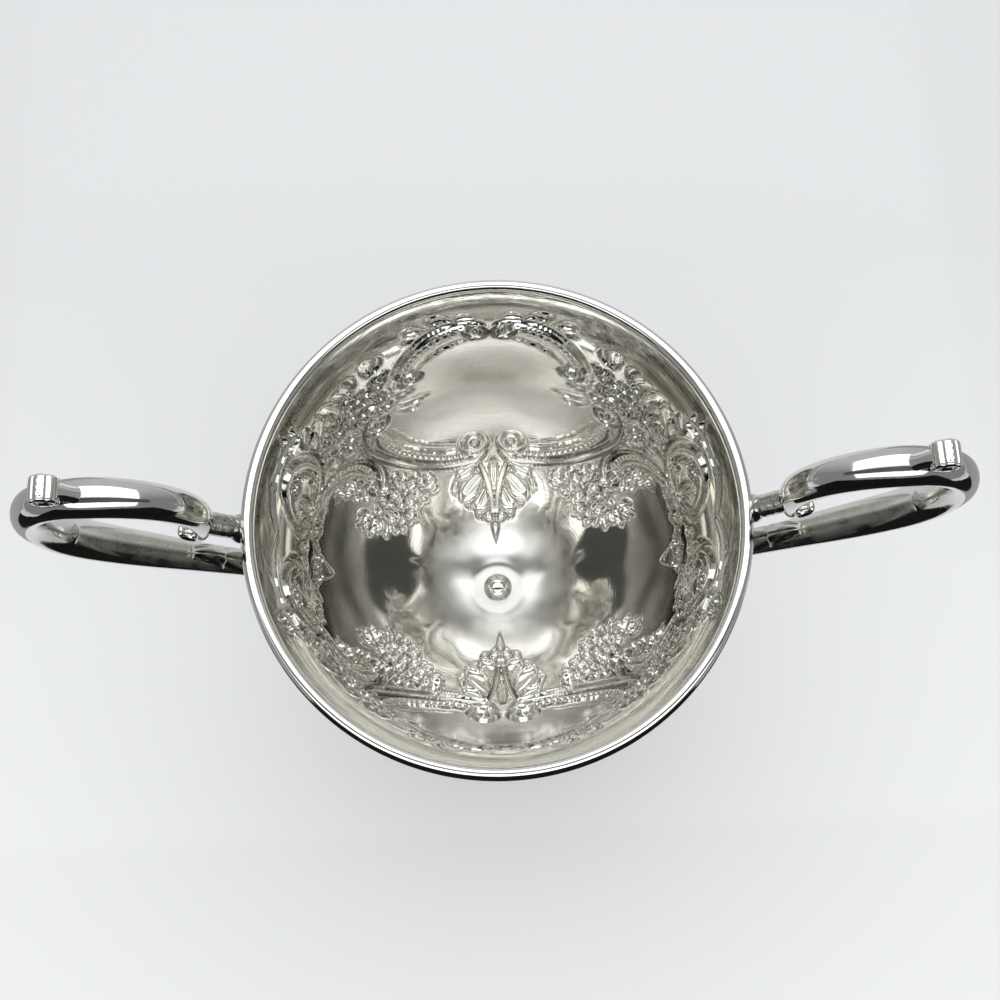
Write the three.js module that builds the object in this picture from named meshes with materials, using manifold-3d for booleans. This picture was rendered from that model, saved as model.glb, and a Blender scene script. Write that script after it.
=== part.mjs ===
// A silver trophy cup with two scroll handles, in millimetres. +Z is up and the handles lie along X.
// The origin is the middle of the circle that the foot stands on.
import * as THREE from 'three';
import { mergeVertices } from 'three/addons/utils/BufferGeometryUtils.js';
import Module from 'manifold-3d';

const wasm = await Module();
wasm.setup();

// Bowl: a flared lip, a straight wall and an elliptical floor with a small flat in the middle.
const SHEET = 1.0; // thickness of the raised sheet
const BOWL_DEPTH = 112;
const LIP_RADIUS = 62.9; // inside of the flare, if it ran up to the top of the lip wire
const WALL_RADIUS = 55.25; // inside of the straight wall
const FLARE_LENGTH = 9; // depth over which the flare dies away
const WALL_END = 48.75; // depth at which the wall starts to turn in
const FLOOR_FLAT = 8; // radius of the flat that the foot is fixed to

// Main forms of the bowl's chasing, raised from inside. A place is [degrees from the middle of a blank
// panel towards a handle, millimetres down the side from the lip]. Each quarter mirrors the next one.
const CHASING = [
  // Frame of the blank panel: a scroll over it and a scroll under it.
  { half: 4.2, height: 1.4, crest: [[0, 16], [9, 16.2], [17, 18.4], [24, 22.8], [28, 29.5], [28.5, 37]] },
  { half: 4.2, height: 1.4, crest: [[42, 58.5], [41, 67], [37.5, 76.5], [30.5, 85], [20, 90.5], [8.5, 92]] },
  // Oval scroll beside the handle with the spray inside it, and the scroll under it.
  {
    half: 2.7,
    height: 1.3,
    crest: [
      [77, 54], [81.5, 46], [83.5, 36], [81.5, 25.5], [77, 19], [71, 19], [67, 26], [65.5, 36], [68, 46],
    ],
  },
  { half: 4, height: 1.2, crest: [[76, 45], [75.8, 35.5], [75.5, 26]] },
  { half: 3.4, height: 1.2, crest: [[71, 58], [64, 61.5], [58, 68], [53.5, 76.5]] },
  // Palmette under the panel.
  { half: 6.5, height: 1.3, crest: [[0, 101], [0, 109], [0, 117]] },
  // Flowers between the panel and the handle, and the ones that hang below.
  { half: 5, height: 1.3, crest: [[38.5, 36]] },
  { half: 5, height: 1.3, crest: [[46, 26.5]] },
  { half: 5, height: 1.3, crest: [[49, 39.5]] },
  { half: 4.5, height: 1.2, crest: [[56, 49]] },
  { half: 4.5, height: 1.1, crest: [[36, 96.5], [44, 96.5], [52, 94], [59, 90]] },
];
const NET_ROWS = [4.2, 7.2, 12, 24, 34, 44, 54, 64, 74, 84, 94, 104, 111, 118, 125, 131.5, 137.5];
const NET_STEP = 7.5; // degrees between the net's plain columns
const SPARSE_FROM = 130; // from here down every second column is enough
const RIDGE_ROOM = 2.5; // least distance between a point at a form's edge and any other
const PLAIN_ROOM = 5; // the same for a point of the plain net
const BORDER_ROOM = 1; // and for one near the lip or on the border of a quarter
const BORDER_SNAP = 1.6; // degrees within which a point moves onto the border
const CHASED_FROM = 10; // the chasing starts further down than this
const DEGREE = Math.PI / 180;

// Lip wire: a half-round moulding with a fine bead under its outer edge.
const LIP_WIRE_OUTSIDE = 65;
const LIP_WIRE_INSIDE = 61.5;
const LIP_WIRE_HEIGHT = 2;
const LIP_BEAD = 0.75; // radius of the fine bead
const LIP_BEAD_INSET = 1.3; // from the wire's outside in to the middle of the bead

// Foot, from the table up: edge wire, domed and trumpet-shaped foot, knop and bowl seat.
const FOOT_WIRE_OUTSIDE = 47;
const FOOT_WIRE_INSIDE = 41;
const FOOT_WIRE_HEIGHT = 4.5;
const FOOT_EDGE = 43.4; // outside of the spun foot where it stands on its wire
const DOME_TOP = 15; // the step where the trumpet meets the dome
const DOME_RADIUS = 25.4;
const STEP_HEIGHT = 2;
const TRUMPET_CURVE = [[8.2, 26], [11, 19.5]]; // control points: radius, height
const DOME_CURVE = [[34, 14], [40.5, 11]];
const STEM_TOP = 35;
const STEM_RADIUS = 8.2;
const STEM_PLATE = 1.5;
const KNOP_TOP = 42;
const KNOP_RADIUS = 11.5;
const NECK_RADIUS = 8;
const FILLET = 0.8; // height of the flat fillets above and below the knop
const FILLET_RADIUS = 8.8;
const SEAT_TOP = 49; // underside of the bowl
const SEAT_RADIUS = 17;
const SEAT_BEAD = 1.1; // radius of the seat's round edge

// Centre stud, which clamps the bowl to its foot: its domed head shows in the bowl's floor.
const STUD_HEAD = 4.9;
const STUD_RADIUS = 2.5;
const STUD_HOLE = 2.8;
const STUD_END = 26.5;
const WASHER_RADIUS = 5.5;
const WASHER_THICKNESS = 1.2;
const NUT_RADIUS = 4.6; // over the corners
const NUT_HEIGHT = 4;

const GAP = 0.3; // solder gap between a piece and the curved face that it is fitted to
const RIM_Z = SEAT_TOP + SHEET + BOWL_DEPTH;
const TURNS = 48; // facets round the bowl
const FOOT_TURNS = 36;
const STEM_TURNS = 30;

// One handle's centre line from the tip of its inner curl, over the top and down to the bowl:
// distance from the cup's axis, height above the rim, half width across, half thickness.
const HANDLE = [
  [80.6, -3.4, 0.9, 0.6],
  [80.4, -5.8, 1.3, 0.9],
  [78.2, -7.2, 1.8, 1.3],
  [75.8, -5.2, 2.4, 1.8],
  [74.3, -1.2, 3.0, 2.4],
  [73.2, 3.8, 3.5, 2.9],
  [72.2, 9.8, 3.9, 3.4],
  [72.6, 16.8, 4.1, 3.6],
  [75.6, 23.4, 4.3, 3.7],
  [80.4, 28.2, 4.5, 3.7],
  [86.0, 31.0, 4.7, 3.6],
  [91.6, 31.9, 4.8, 3.5],
  [97.2, 31.1, 4.6, 3.6],
  [102.6, 28.5, 4.6, 3.8],
  [107.0, 24.0, 4.8, 3.9],
  [110.0, 17.4, 5.0, 4.0],
  [111.0, 9.4, 5.2, 4.0],
  [110.3, 1.0, 5.4, 4.0],
  [107.6, -7.2, 5.4, 4.0],
  [102.3, -16.2, 5.2, 3.9],
  [94.6, -26.2, 4.9, 3.8],
  [86.0, -36.6, 4.3, 3.5],
  [77.0, -46.9, 3.9, 3.2],
  [68.6, -56.0, 3.7, 3.1],
  [61.0, -62.8, 3.8, 3.2],
  [53.0, -67.0, 4.4, 3.6],
  [45.0, -68.8, 5.0, 4.2],
];
const HANDLE_JOINT = 0.345; // share of the centre line where the upper scroll meets the lower one
const HANDLE_SIDES = 12;
// Rib along the inside of the lower scroll, which starts with a small bud.
const RIB = { from: 0.515, height: 0.8, bud: 1.1, budLength: 0.012 };

// Thumb scroll: a strip that rises from the top of the handle on a stem and rolls up round an eye.
const THUMB = { out: 97.2, up: 40.4, radius: 3.4, turns: 1.1, width: 6.2, stem: 5.6, eye: 1.45 };
const THUMB_STRIP = 1.5;
const THUMB_GROOVE = 0.25;
const EYE_PROUD = 0.4;

// Strut from under the lip to the back of the upper scroll: distance from the axis, height, radius.
const STRUT = [
  [52.5, -16.5, 5.2],
  [58.2, -11.2, 4.7],
  [63.6, -5.8, 3.7],
  [68.2, -0.8, 2.9],
  [72.8, 4.8, 3.0],
];

// Oval plate on the wall under the foot of each handle: half sizes, and the height of its middle.
const PLATE = { thickness: 0.9, up: -65.2, across: 6.4, high: 8.4 };

// Acanthus leaf on the inside of the lower scroll, with its tip rolled up.
const LEAF = { tip: 0.712, root: 0.925, reach: 56, thickness: 1.2, lobes: 3, knob: 1.9 };

const SILVER = { color: 0xd9d9d4, roughness: 0.14, metalness: 1 };
const WORN_SILVER = { color: 0xc9c8bf, roughness: 0.24, metalness: 1 };
const DARK_SILVER = { color: 0x9b9a94, roughness: 0.3, metalness: 1 };
const BRASS = { color: 0xb08d4a, roughness: 0.35, metalness: 1 };

/** Keeps only welded positions and turns the faces outwards, which makes one closed body. */
function weld(geometry) {
  geometry.deleteAttribute('normal');
  geometry.deleteAttribute('uv');
  const welded = mergeVertices(geometry, 1e-4);
  const p = welded.attributes.position;
  const corners = welded.index.array;
  const a = new THREE.Vector3();
  const b = new THREE.Vector3();
  const c = new THREE.Vector3();
  const kept = [];
  let volume = 0;
  for (let i = 0; i < corners.length; i += 3) {
    const [i0, i1, i2] = [corners[i], corners[i + 1], corners[i + 2]];
    if (i0 === i1 || i1 === i2 || i2 === i0) continue;
    kept.push(i0, i1, i2);
    a.fromBufferAttribute(p, i0);
    b.fromBufferAttribute(p, i1);
    c.fromBufferAttribute(p, i2);
    volume += a.dot(b.cross(c));
  }
  welded.setIndex(volume < 0 ? kept.reverse() : kept);
  return welded;
}

/** The named mesh of one piece. */
function piece(name, geometry, finish) {
  geometry.computeVertexNormals();
  const mesh = new THREE.Mesh(geometry, new THREE.MeshStandardMaterial(finish));
  mesh.name = name;
  return mesh;
}

/** A solid of revolution about +Z from a profile of [radius, height] pairs. */
function turned(profile, segments) {
  const points = profile.map(([radius, height]) => new THREE.Vector2(radius, height));
  return weld(new THREE.LatheGeometry(points, segments).rotateX(Math.PI / 2));
}

/** A closed ring's profile: its last point is its first one again. */
function ring(profile) {
  return [...profile, profile[0]];
}

/** Points on part of an ellipse, between two angles in degrees that turn from outwards towards up. */
function arc([x, z], across, up, from, to, steps) {
  return Array.from({ length: steps + 1 }, (_, i) => {
    const angle = THREE.MathUtils.degToRad(from + ((to - from) * i) / steps);
    return [x + across * Math.cos(angle), z + up * Math.sin(angle)];
  });
}

/** The profile moved sideways by a distance, to the right of its direction. */
function offset(profile, distance) {
  return profile.map(([x, z], i) => {
    const [x0, z0] = profile[Math.max(0, i - 1)];
    const [x1, z1] = profile[Math.min(profile.length - 1, i + 1)];
    const length = Math.hypot(x1 - x0, z1 - z0);
    return [x + ((z1 - z0) / length) * distance, z - ((x1 - x0) / length) * distance];
  });
}

/** The same solid as a manifold, for cutting. */
function toManifold(geometry) {
  return new wasm.Manifold(
    new wasm.Mesh({
      numProp: 3,
      vertProperties: new Float32Array(geometry.attributes.position.array),
      triVerts: new Uint32Array(geometry.index.array),
    }),
  );
}

/** The manifold's mesh as a geometry again. */
function fromManifold(body) {
  const { vertProperties, triVerts } = body.getMesh();
  const result = new THREE.BufferGeometry();
  result.setAttribute('position', new THREE.BufferAttribute(vertProperties, 3));
  result.setIndex([...triVerts]);
  return result;
}

/** The solid with other solids cut away. */
function cut(geometry, ...tools) {
  return fromManifold(tools.reduce((body, tool) => body.subtract(toManifold(tool)), toManifold(geometry)));
}

/** Two solids made one. */
function join(geometry, other) {
  return fromManifold(toManifold(geometry).add(toManifold(other)));
}

/** What two solids share. */
function keep(geometry, other) {
  return fromManifold(toManifold(geometry).intersect(toManifold(other)));
}

/** A closed solid through rings of points, each capped by a ladder between its two halves. */
function loft(rings) {
  const sides = rings[0].length;
  const positions = rings.flat().flatMap((v) => v.toArray());
  const faces = [];
  for (let i = 0; i + 1 < rings.length; i++) {
    for (let j = 0; j < sides; j++) {
      const next = (j + 1) % sides;
      const [a, b, c, d] = [i * sides + j, i * sides + next, (i + 1) * sides + next, (i + 1) * sides + j];
      faces.push(a, b, c, a, c, d);
    }
  }
  const last = (rings.length - 1) * sides;
  for (let j = 0; j < sides / 2 - 1; j++) {
    const [a, b, c, d] = [j, j + 1, sides - 2 - j, sides - 1 - j];
    faces.push(a, c, b, a, d, c, last + a, last + b, last + c, last + a, last + c, last + d);
  }
  const solid = new THREE.BufferGeometry();
  solid.setAttribute('position', new THREE.Float32BufferAttribute(positions, 3));
  solid.setIndex(faces);
  return weld(solid);
}

/** Inside radius of the bowl at a depth below the top of the lip. */
function bowlRadius(depth) {
  const flare = (LIP_RADIUS - WALL_RADIUS) * Math.exp(-Math.min(depth, WALL_END) / FLARE_LENGTH);
  const straight = WALL_RADIUS + flare;
  if (depth <= WALL_END) return straight;
  const floorHeight = (BOWL_DEPTH - WALL_END) / Math.sqrt(1 - (FLOOR_FLAT / straight) ** 2);
  return straight * Math.sqrt(1 - ((depth - WALL_END) / floorHeight) ** 2);
}

/** The bowl's inside from the floor's flat up to the lip, as a profile moved outwards by a distance. */
function bowlSide(distance = 0) {
  const lip = LIP_WIRE_HEIGHT;
  const depths = [WALL_END, 34, 24, 17, 12, 8.5, 5.5, 3.5, lip];
  const wall = depths.map((depth) => [bowlRadius(depth), RIM_Z - depth]);
  const steps = 10;
  const floor = Array.from({ length: steps }, (_, i) => {
    const depth = WALL_END + (BOWL_DEPTH - WALL_END) * Math.cos((Math.PI / 2) * (i / steps));
    return [bowlRadius(depth), RIM_Z - depth];
  });
  const side = offset([...floor, ...wall], distance);
  side[0] = [FLOOR_FLAT, RIM_Z - BOWL_DEPTH - distance];
  side[side.length - 1][1] = RIM_Z - lip;
  return side;
}

/** The bowl's inside from the lip down to the stud's hole, as [distance down it, radius, height]. */
function sideLine() {
  const steps = 60;
  const depths = [0, LIP_WIRE_HEIGHT];
  for (let i = 1; i <= steps; i++) depths.push(LIP_WIRE_HEIGHT + ((WALL_END - LIP_WIRE_HEIGHT) * i) / steps);
  for (let i = 1; i <= steps; i++) {
    depths.push(WALL_END + (BOWL_DEPTH - WALL_END) * Math.sin((Math.PI / 2) * (i / steps)));
  }
  const line = depths.map((depth) => [0, bowlRadius(depth), RIM_Z - depth]);
  line.push([0, STUD_HOLE, RIM_Z - BOWL_DEPTH]);
  for (let i = 1; i < line.length; i++) {
    line[i][0] = line[i - 1][0] + Math.hypot(line[i][1] - line[i - 1][1], line[i][2] - line[i - 1][2]);
  }
  return line;
}
const SIDE = sideLine();
const [LIP_DOWN, FLAT_DOWN, HOLE_DOWN] = [SIDE[1][0], SIDE.at(-2)[0], SIDE.at(-1)[0]];

/** Radius and height at a distance down the side, moved outwards by another distance. */
function sideAt(down, outwards = 0) {
  const found = SIDE.findIndex(([along]) => along > down + 1e-6);
  const next = found < 0 ? SIDE.length - 1 : found;
  const [[s0, r0, z0], [s1, r1, z1]] = [SIDE[next - 1], SIDE[next]];
  const length = s1 - s0;
  const share = (down - s0) / length;
  const radius = r0 + (r1 - r0) * share + ((z0 - z1) / length) * outwards;
  return [radius, z0 + (z1 - z0) * share + ((r1 - r0) / length) * outwards];
}

/** Millimetres between two places on the side. */
function apart([degrees0, down0], [degrees1, down1]) {
  const [radius] = sideAt((down0 + down1) / 2);
  return Math.hypot((degrees1 - degrees0) * DEGREE * radius, down1 - down0);
}

/** Places along the edge of a chased form: to both sides of its crest and round its ends. */
function edgeOf({ half, crest }) {
  const last = crest.length - 1;
  return crest.flatMap(([degrees, down], i) => {
    const [degrees0, down0] = crest[Math.max(0, i - 1)];
    const [degrees1, down1] = crest[Math.min(last, i + 1)];
    const scale = DEGREE * sideAt(down)[0];
    const heading = Math.atan2(down1 - down0, (degrees1 - degrees0) * scale) / DEGREE;
    const before = i === 0 ? [135, 180, 225] : [];
    const after = i === last ? [-45, 0, 45] : [];
    return [90, -90, ...before, ...after].map((turn) => {
      const angle = (heading + turn) * DEGREE;
      return [degrees + (half * Math.cos(angle)) / scale, down + half * Math.sin(angle)];
    });
  });
}

/** Points of one quarter of the bowl's side, as [degrees, distance down, height of the chasing]. */
function chasedPoints() {
  const points = [];
  const add = ([degrees, down], height, room) => {
    const border = [0, 90].find((side) => Math.abs(degrees - side) < BORDER_SNAP);
    const place = [border ?? degrees, down, height];
    const inside = place[0] >= 0 && place[0] <= 90;
    if (inside && points.every((other) => apart(place, other) > room)) points.push(place);
  };
  for (const row of [LIP_DOWN, FLAT_DOWN, HOLE_DOWN]) {
    const step = row < SPARSE_FROM ? NET_STEP : 2 * NET_STEP;
    for (let degrees = 0; degrees <= 90; degrees += step) add([degrees, row], 0, 0);
  }
  for (const { height, crest } of CHASING) crest.forEach((place) => add(place, height, 0));
  for (const form of CHASING) edgeOf(form).forEach((place) => add(place, 0, RIDGE_ROOM));
  for (const row of NET_ROWS) {
    const step = row < SPARSE_FROM ? NET_STEP : 2 * NET_STEP;
    for (let degrees = 0; degrees <= 90; degrees += step) {
      const border = row < CHASED_FROM || degrees % 90 === 0;
      add([degrees, row], 0, border ? BORDER_ROOM : PLAIN_ROOM);
    }
  }
  return points;
}

/** A triangle with the circle through its corners. */
function circled(points, corners) {
  const [[ax, ay], [bx, by], [cx, cy]] = corners.map((i) => points[i]);
  const [a2, b2, c2] = [ax * ax + ay * ay, bx * bx + by * by, cx * cx + cy * cy];
  const d = 2 * (ax * (by - cy) + bx * (cy - ay) + cx * (ay - by));
  const x = (a2 * (by - cy) + b2 * (cy - ay) + c2 * (ay - by)) / d;
  const y = (a2 * (cx - bx) + b2 * (ax - cx) + c2 * (bx - ax)) / d;
  return { corners, x, y, radius: Math.hypot(ax - x, ay - y) };
}

/** The Delaunay triangles of points in a plane, turned from x towards y. */
function delaunay(points) {
  const far = 1e5; // corners of the first triangle, which holds all points
  const all = [...points, [-far, -far], [far, -far], [0, far]];
  const count = points.length;
  let net = [circled(all, [count, count + 1, count + 2])];
  points.forEach(([x, y], k) => {
    const holds = (face) => Math.hypot(x - face.x, y - face.y) < face.radius;
    const edges = net.filter(holds).flatMap(({ corners: [a, b, c] }) => [[a, b], [b, c], [c, a]]);
    const outline = edges.filter(([a, b]) => !edges.some(([c, d]) => a === d && b === c));
    net = net.filter((face) => !holds(face));
    net.push(...outline.map(([a, b]) => circled(all, [a, b, k])));
  });
  return net.map(({ corners }) => corners).filter((corners) => corners.every((i) => i < count));
}

/** The net's points laid flat, with borders that swell a little so that each border point is kept. */
function laidFlat(points) {
  const [across, high] = [90 / 2, HOLE_DOWN / 2];
  return points.map(([degrees, down]) => {
    const [x, y] = [degrees / across - 1, down / high - 1];
    return [x * (across + 1 - y * y), y * (high + 1 - x * x)];
  });
}

/** Numbers of the points at a distance down the side, from the panel's middle to the handle. */
function rowOf(points, level) {
  const numbered = points.map(([degrees, down], number) => ({ degrees, down, number }));
  const row = numbered.filter(({ down }) => down === level);
  return row.sort((a, b) => a.degrees - b.degrees).map(({ number }) => number);
}

/** Positions of one skin of a quarter, which turns away from a panel's middle in one sense. */
function skinOf(points, middle, sense, skin) {
  return points.flatMap(([degrees, down, height]) => {
    const azimuth = (middle + sense * degrees) * DEGREE;
    const [radius, z] = sideAt(down, height + skin);
    const level = down === LIP_DOWN ? RIM_Z - LIP_WIRE_HEIGHT : z;
    return [radius * Math.cos(azimuth), radius * Math.sin(azimuth), level];
  });
}

/** The raised sheet: both of its faces follow the chasing, a sheet's thickness apart. */
function bowl() {
  const points = chasedPoints();
  const net = delaunay(laidFlat(points));
  const borders = [rowOf(points, LIP_DOWN), rowOf(points, HOLE_DOWN).reverse()];
  const positions = [];
  const faces = [];
  for (const [middle, sense] of [[90, -1], [90, 1], [270, -1], [270, 1]]) {
    const inner = positions.length / 3;
    const outer = inner + points.length;
    const add = (a, b, c) => faces.push(...(sense > 0 ? [a, b, c] : [a, c, b]));
    positions.push(...skinOf(points, middle, sense, 0), ...skinOf(points, middle, sense, SHEET));
    for (const [a, b, c] of net) {
      add(inner + a, inner + b, inner + c);
      add(outer + a, outer + c, outer + b);
    }
    for (const border of borders) {
      for (let i = 1; i < border.length; i++) {
        const [a, b] = [border[i - 1], border[i]];
        add(inner + b, inner + a, outer + a);
        add(inner + b, outer + a, outer + b);
      }
    }
  }
  const sheet = new THREE.BufferGeometry();
  sheet.setAttribute('position', new THREE.Float32BufferAttribute(positions, 3));
  sheet.setIndex(faces);
  return weld(sheet);
}

/** Half-round wire on the lip with its fine bead. */
function lipWire() {
  const middle = (LIP_WIRE_INSIDE + LIP_WIRE_OUTSIDE) / 2;
  const seat = RIM_Z - LIP_WIRE_HEIGHT;
  const top = arc([middle, seat], LIP_WIRE_OUTSIDE - middle, LIP_WIRE_HEIGHT, 180, 0, 7);
  const beadMiddle = LIP_WIRE_OUTSIDE - LIP_BEAD_INSET;
  const bead = arc([beadMiddle, seat - LIP_BEAD], LIP_BEAD, LIP_BEAD, 60, -150, 4);
  return turned(ring([...top, ...bead, [beadMiddle - LIP_BEAD, seat]]), TURNS);
}

/** A plain ring round the lip wire, as a cutting tool. */
function lipTool() {
  const [inside, outside] = [LIP_WIRE_INSIDE - GAP, LIP_WIRE_OUTSIDE + GAP];
  const bottom = RIM_Z - LIP_WIRE_HEIGHT - 2 * LIP_BEAD - GAP;
  const top = RIM_Z + LIP_WIRE_HEIGHT;
  return turned(ring([[inside, bottom], [inside, top], [outside, top], [outside, bottom]]), TURNS);
}

/** Calyx-shaped collar that carries the bowl: its top follows the bowl's underside. */
function bowlSeat() {
  const dish = bowlSide(SHEET + GAP).filter(([radius]) => radius > FLOOR_FLAT && radius < SEAT_RADIUS);
  const top = [[STUD_HOLE, SEAT_TOP], [FLOOR_FLAT, SEAT_TOP], ...dish];
  const edge = dish.at(-1)[1];
  const lip = arc([SEAT_RADIUS - SEAT_BEAD, edge - SEAT_BEAD], SEAT_BEAD, SEAT_BEAD, 60, -70, 4);
  const [middle, bottom] = [SEAT_RADIUS - SEAT_BEAD / 2, KNOP_TOP + FILLET];
  const cavetto = arc([middle, bottom], middle - FILLET_RADIUS, edge - 2 * SEAT_BEAD - bottom, 100, 180, 6);
  const base = [[FILLET_RADIUS, KNOP_TOP], [STUD_HOLE, KNOP_TOP]];
  return turned(ring([...top, ...lip, ...cavetto, ...base]), STEM_TURNS);
}

function stemKnop() {
  const middle = (STEM_TOP + KNOP_TOP) / 2;
  const halfHeight = (KNOP_TOP - STEM_TOP) / 2 - 1.5 * FILLET;
  const belly = arc([NECK_RADIUS, middle], KNOP_RADIUS - NECK_RADIUS, halfHeight, 90, -90, 6);
  const upper = [[STUD_HOLE, KNOP_TOP], [FILLET_RADIUS, KNOP_TOP], [FILLET_RADIUS, KNOP_TOP - FILLET]];
  const lower = [[FILLET_RADIUS, STEM_TOP + FILLET], [FILLET_RADIUS, STEM_TOP], [STUD_HOLE, STEM_TOP]];
  return turned(ring([...upper, ...belly, ...lower]), STEM_TURNS);
}

/** Trumpet stem and stepped dome, spun from one sheet, with a plate at the top for the stud. */
function foot() {
  const trumpet = new THREE.Path().moveTo(STEM_RADIUS, STEM_TOP);
  trumpet.bezierCurveTo(...TRUMPET_CURVE.flat(), DOME_RADIUS - STEP_HEIGHT, DOME_TOP + STEP_HEIGHT);
  const dome = new THREE.Path().moveTo(DOME_RADIUS, DOME_TOP);
  dome.bezierCurveTo(...DOME_CURVE.flat(), FOOT_EDGE, FOOT_WIRE_HEIGHT);
  const pairs = (path, steps) => path.getPoints(steps).map(({ x, y }) => [x, y]);
  const step = [DOME_RADIUS - 0.7, DOME_TOP + STEP_HEIGHT - 0.2];
  const outside = [...pairs(trumpet, 6), step, ...pairs(dome, 5)];
  const inside = offset(outside, SHEET).reverse();
  inside[0] = [FOOT_EDGE - SHEET, FOOT_WIRE_HEIGHT];
  inside[inside.length - 1] = [STEM_RADIUS - SHEET, STEM_TOP - STEM_PLATE];
  const hole = [[STUD_HOLE, STEM_TOP - STEM_PLATE], [STUD_HOLE, STEM_TOP]];
  return turned(ring([...hole, ...outside, ...inside]), FOOT_TURNS);
}

function footWire() {
  const [seat, shoulder] = [FOOT_EDGE + 0.4, 1.4];
  const ovolo = arc([seat, shoulder], FOOT_WIRE_OUTSIDE - seat, FOOT_WIRE_HEIGHT - shoulder, 90, 0, 6);
  const inner = [[FOOT_WIRE_INSIDE, 0], [FOOT_WIRE_INSIDE, FOOT_WIRE_HEIGHT]];
  return turned(ring([...inner, ...ovolo, [FOOT_WIRE_OUTSIDE, 0]]), FOOT_TURNS);
}

function centreStud() {
  const floor = RIM_Z - BOWL_DEPTH;
  const dome = arc([0, floor], STUD_HEAD, STUD_HEAD, 90, 0, 7);
  dome[0][0] = 0;
  const shank = [[STUD_RADIUS, floor], [STUD_RADIUS, STUD_END + 0.6], [STUD_RADIUS - 0.6, STUD_END]];
  return turned([...dome, ...shank, [0, STUD_END]], 20);
}

function washer() {
  const top = STEM_TOP - STEM_PLATE;
  const bottom = top - WASHER_THICKNESS;
  const section = [[STUD_HOLE, top], [WASHER_RADIUS, top], [WASHER_RADIUS, bottom], [STUD_HOLE, bottom]];
  return turned(ring(section), 24);
}

function nut() {
  const corners = Array.from({ length: 6 }, (_, i) => {
    const angle = (Math.PI * i) / 3;
    return new THREE.Vector2(NUT_RADIUS * Math.cos(angle), NUT_RADIUS * Math.sin(angle));
  });
  const shape = new THREE.Shape(corners);
  shape.holes.push(new THREE.Path().absarc(0, 0, STUD_HOLE, 0, 2 * Math.PI, true));
  const options = { depth: NUT_HEIGHT, bevelEnabled: false, curveSegments: 20 };
  const solid = new THREE.ExtrudeGeometry(shape, options);
  solid.translate(0, 0, STEM_TOP - STEM_PLATE - WASHER_THICKNESS - NUT_HEIGHT);
  return weld(solid);
}

const handleLine = new THREE.CatmullRomCurve3(
  HANDLE.map(([out, up]) => new THREE.Vector3(out, 0, RIM_Z + up)), false, 'centripetal');

/** Where the handle is at a share of its length: point, direction inwards to the loop, half sizes. */
function handleAt(share) {
  const point = handleLine.getPointAt(share);
  const along = handleLine.getTangentAt(share);
  const inward = new THREE.Vector3(-along.z, 0, along.x).negate();
  const place = handleLine.getUtoTmapping(share) * (HANDLE.length - 1);
  const i = Math.min(HANDLE.length - 2, Math.floor(place));
  const between = (k) => THREE.MathUtils.lerp(HANDLE[i][k], HANDLE[i + 1][k], place - i);
  return { point, inward, width: between(2), thickness: between(3) };
}

/** Height of the rib at a share of the handle's length: it starts with a small round bud. */
function ribHeight(share) {
  const start = (share - RIB.from) / RIB.budLength;
  return start < -1 ? 0 : RIB.height * Math.min(1, start + 1) + RIB.bud * Math.exp(-2 * start * start);
}

/** A point on the handle's skin, at an angle from the inward direction, moved outwards by a distance. */
function onHandle(share, angle, distance = 0) {
  const { point, inward, width, thickness } = handleAt(share);
  const ridge = ribHeight(share) * Math.max(0, Math.cos(angle)) ** 8;
  const skin = new THREE.Vector3(0, (width + distance) * Math.sin(angle), 0);
  return skin.addScaledVector(inward, (thickness + distance) * Math.cos(angle) + ridge).add(point);
}

/** A stretch of the handle, made larger all round by a distance, with finer steps at its start. */
function handleStretch(from, to, stations, distance = 0, finer = 1) {
  return loft(Array.from({ length: stations + 1 }, (_, i) => {
    const share = THREE.MathUtils.lerp(from, to, (i / stations) ** finer);
    const angles = Array.from({ length: HANDLE_SIDES }, (__, j) => (2 * Math.PI * j) / HANDLE_SIDES);
    return angles.map((angle) => onHandle(share, angle, distance));
  }));
}

/** Everything inside the bowl's outer face and a distance more, as a cutting tool. */
function bowlTool(distance) {
  const skin = SHEET + distance;
  return turned([[0, SEAT_TOP - distance], ...bowlSide(skin), [0, RIM_Z - LIP_WIRE_HEIGHT]], TURNS);
}

/** Oval plate that lies on the wall with its edge cut square to the cup's side. */
function wallPlate() {
  const { thickness, up, across, high } = PLATE;
  const oval = new THREE.Shape().absellipse(0, 0, across, high, 0, 2 * Math.PI);
  const column = new THREE.ExtrudeGeometry(oval, { depth: 30, bevelEnabled: false, curveSegments: 18 });
  column.rotateX(Math.PI / 2).rotateZ(Math.PI / 2).translate(40, 0, RIM_Z + up);
  return cut(keep(weld(column), bowlTool(GAP + thickness)), bowlTool(GAP));
}

/** Centre line of the strip that makes the thumb scroll: up its stem and round its roll. */
function thumbLine() {
  const { out, up, radius, turns, stem } = THUMB;
  const [steps, start, tightening] = [20, -0.31, 0.66];
  const roll = Array.from({ length: steps + 1 }, (_, i) => {
    const turn = (turns * i) / steps;
    const angle = 2 * Math.PI * (turn + start);
    const r = (radius - THUMB_STRIP / 2) * (1 - tightening * turn);
    return new THREE.Vector3(out + r * Math.cos(angle), 0, RIM_Z + up + r * Math.sin(angle));
  });
  const foot = new THREE.Vector3(out - stem, 0, RIM_Z + up - radius - 3.2);
  const rise = new THREE.Vector3(out - stem * 0.55, 0, RIM_Z + up - radius - 1.3);
  return new THREE.CatmullRomCurve3([foot, rise, ...roll], false, 'centripetal');
}

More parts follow.
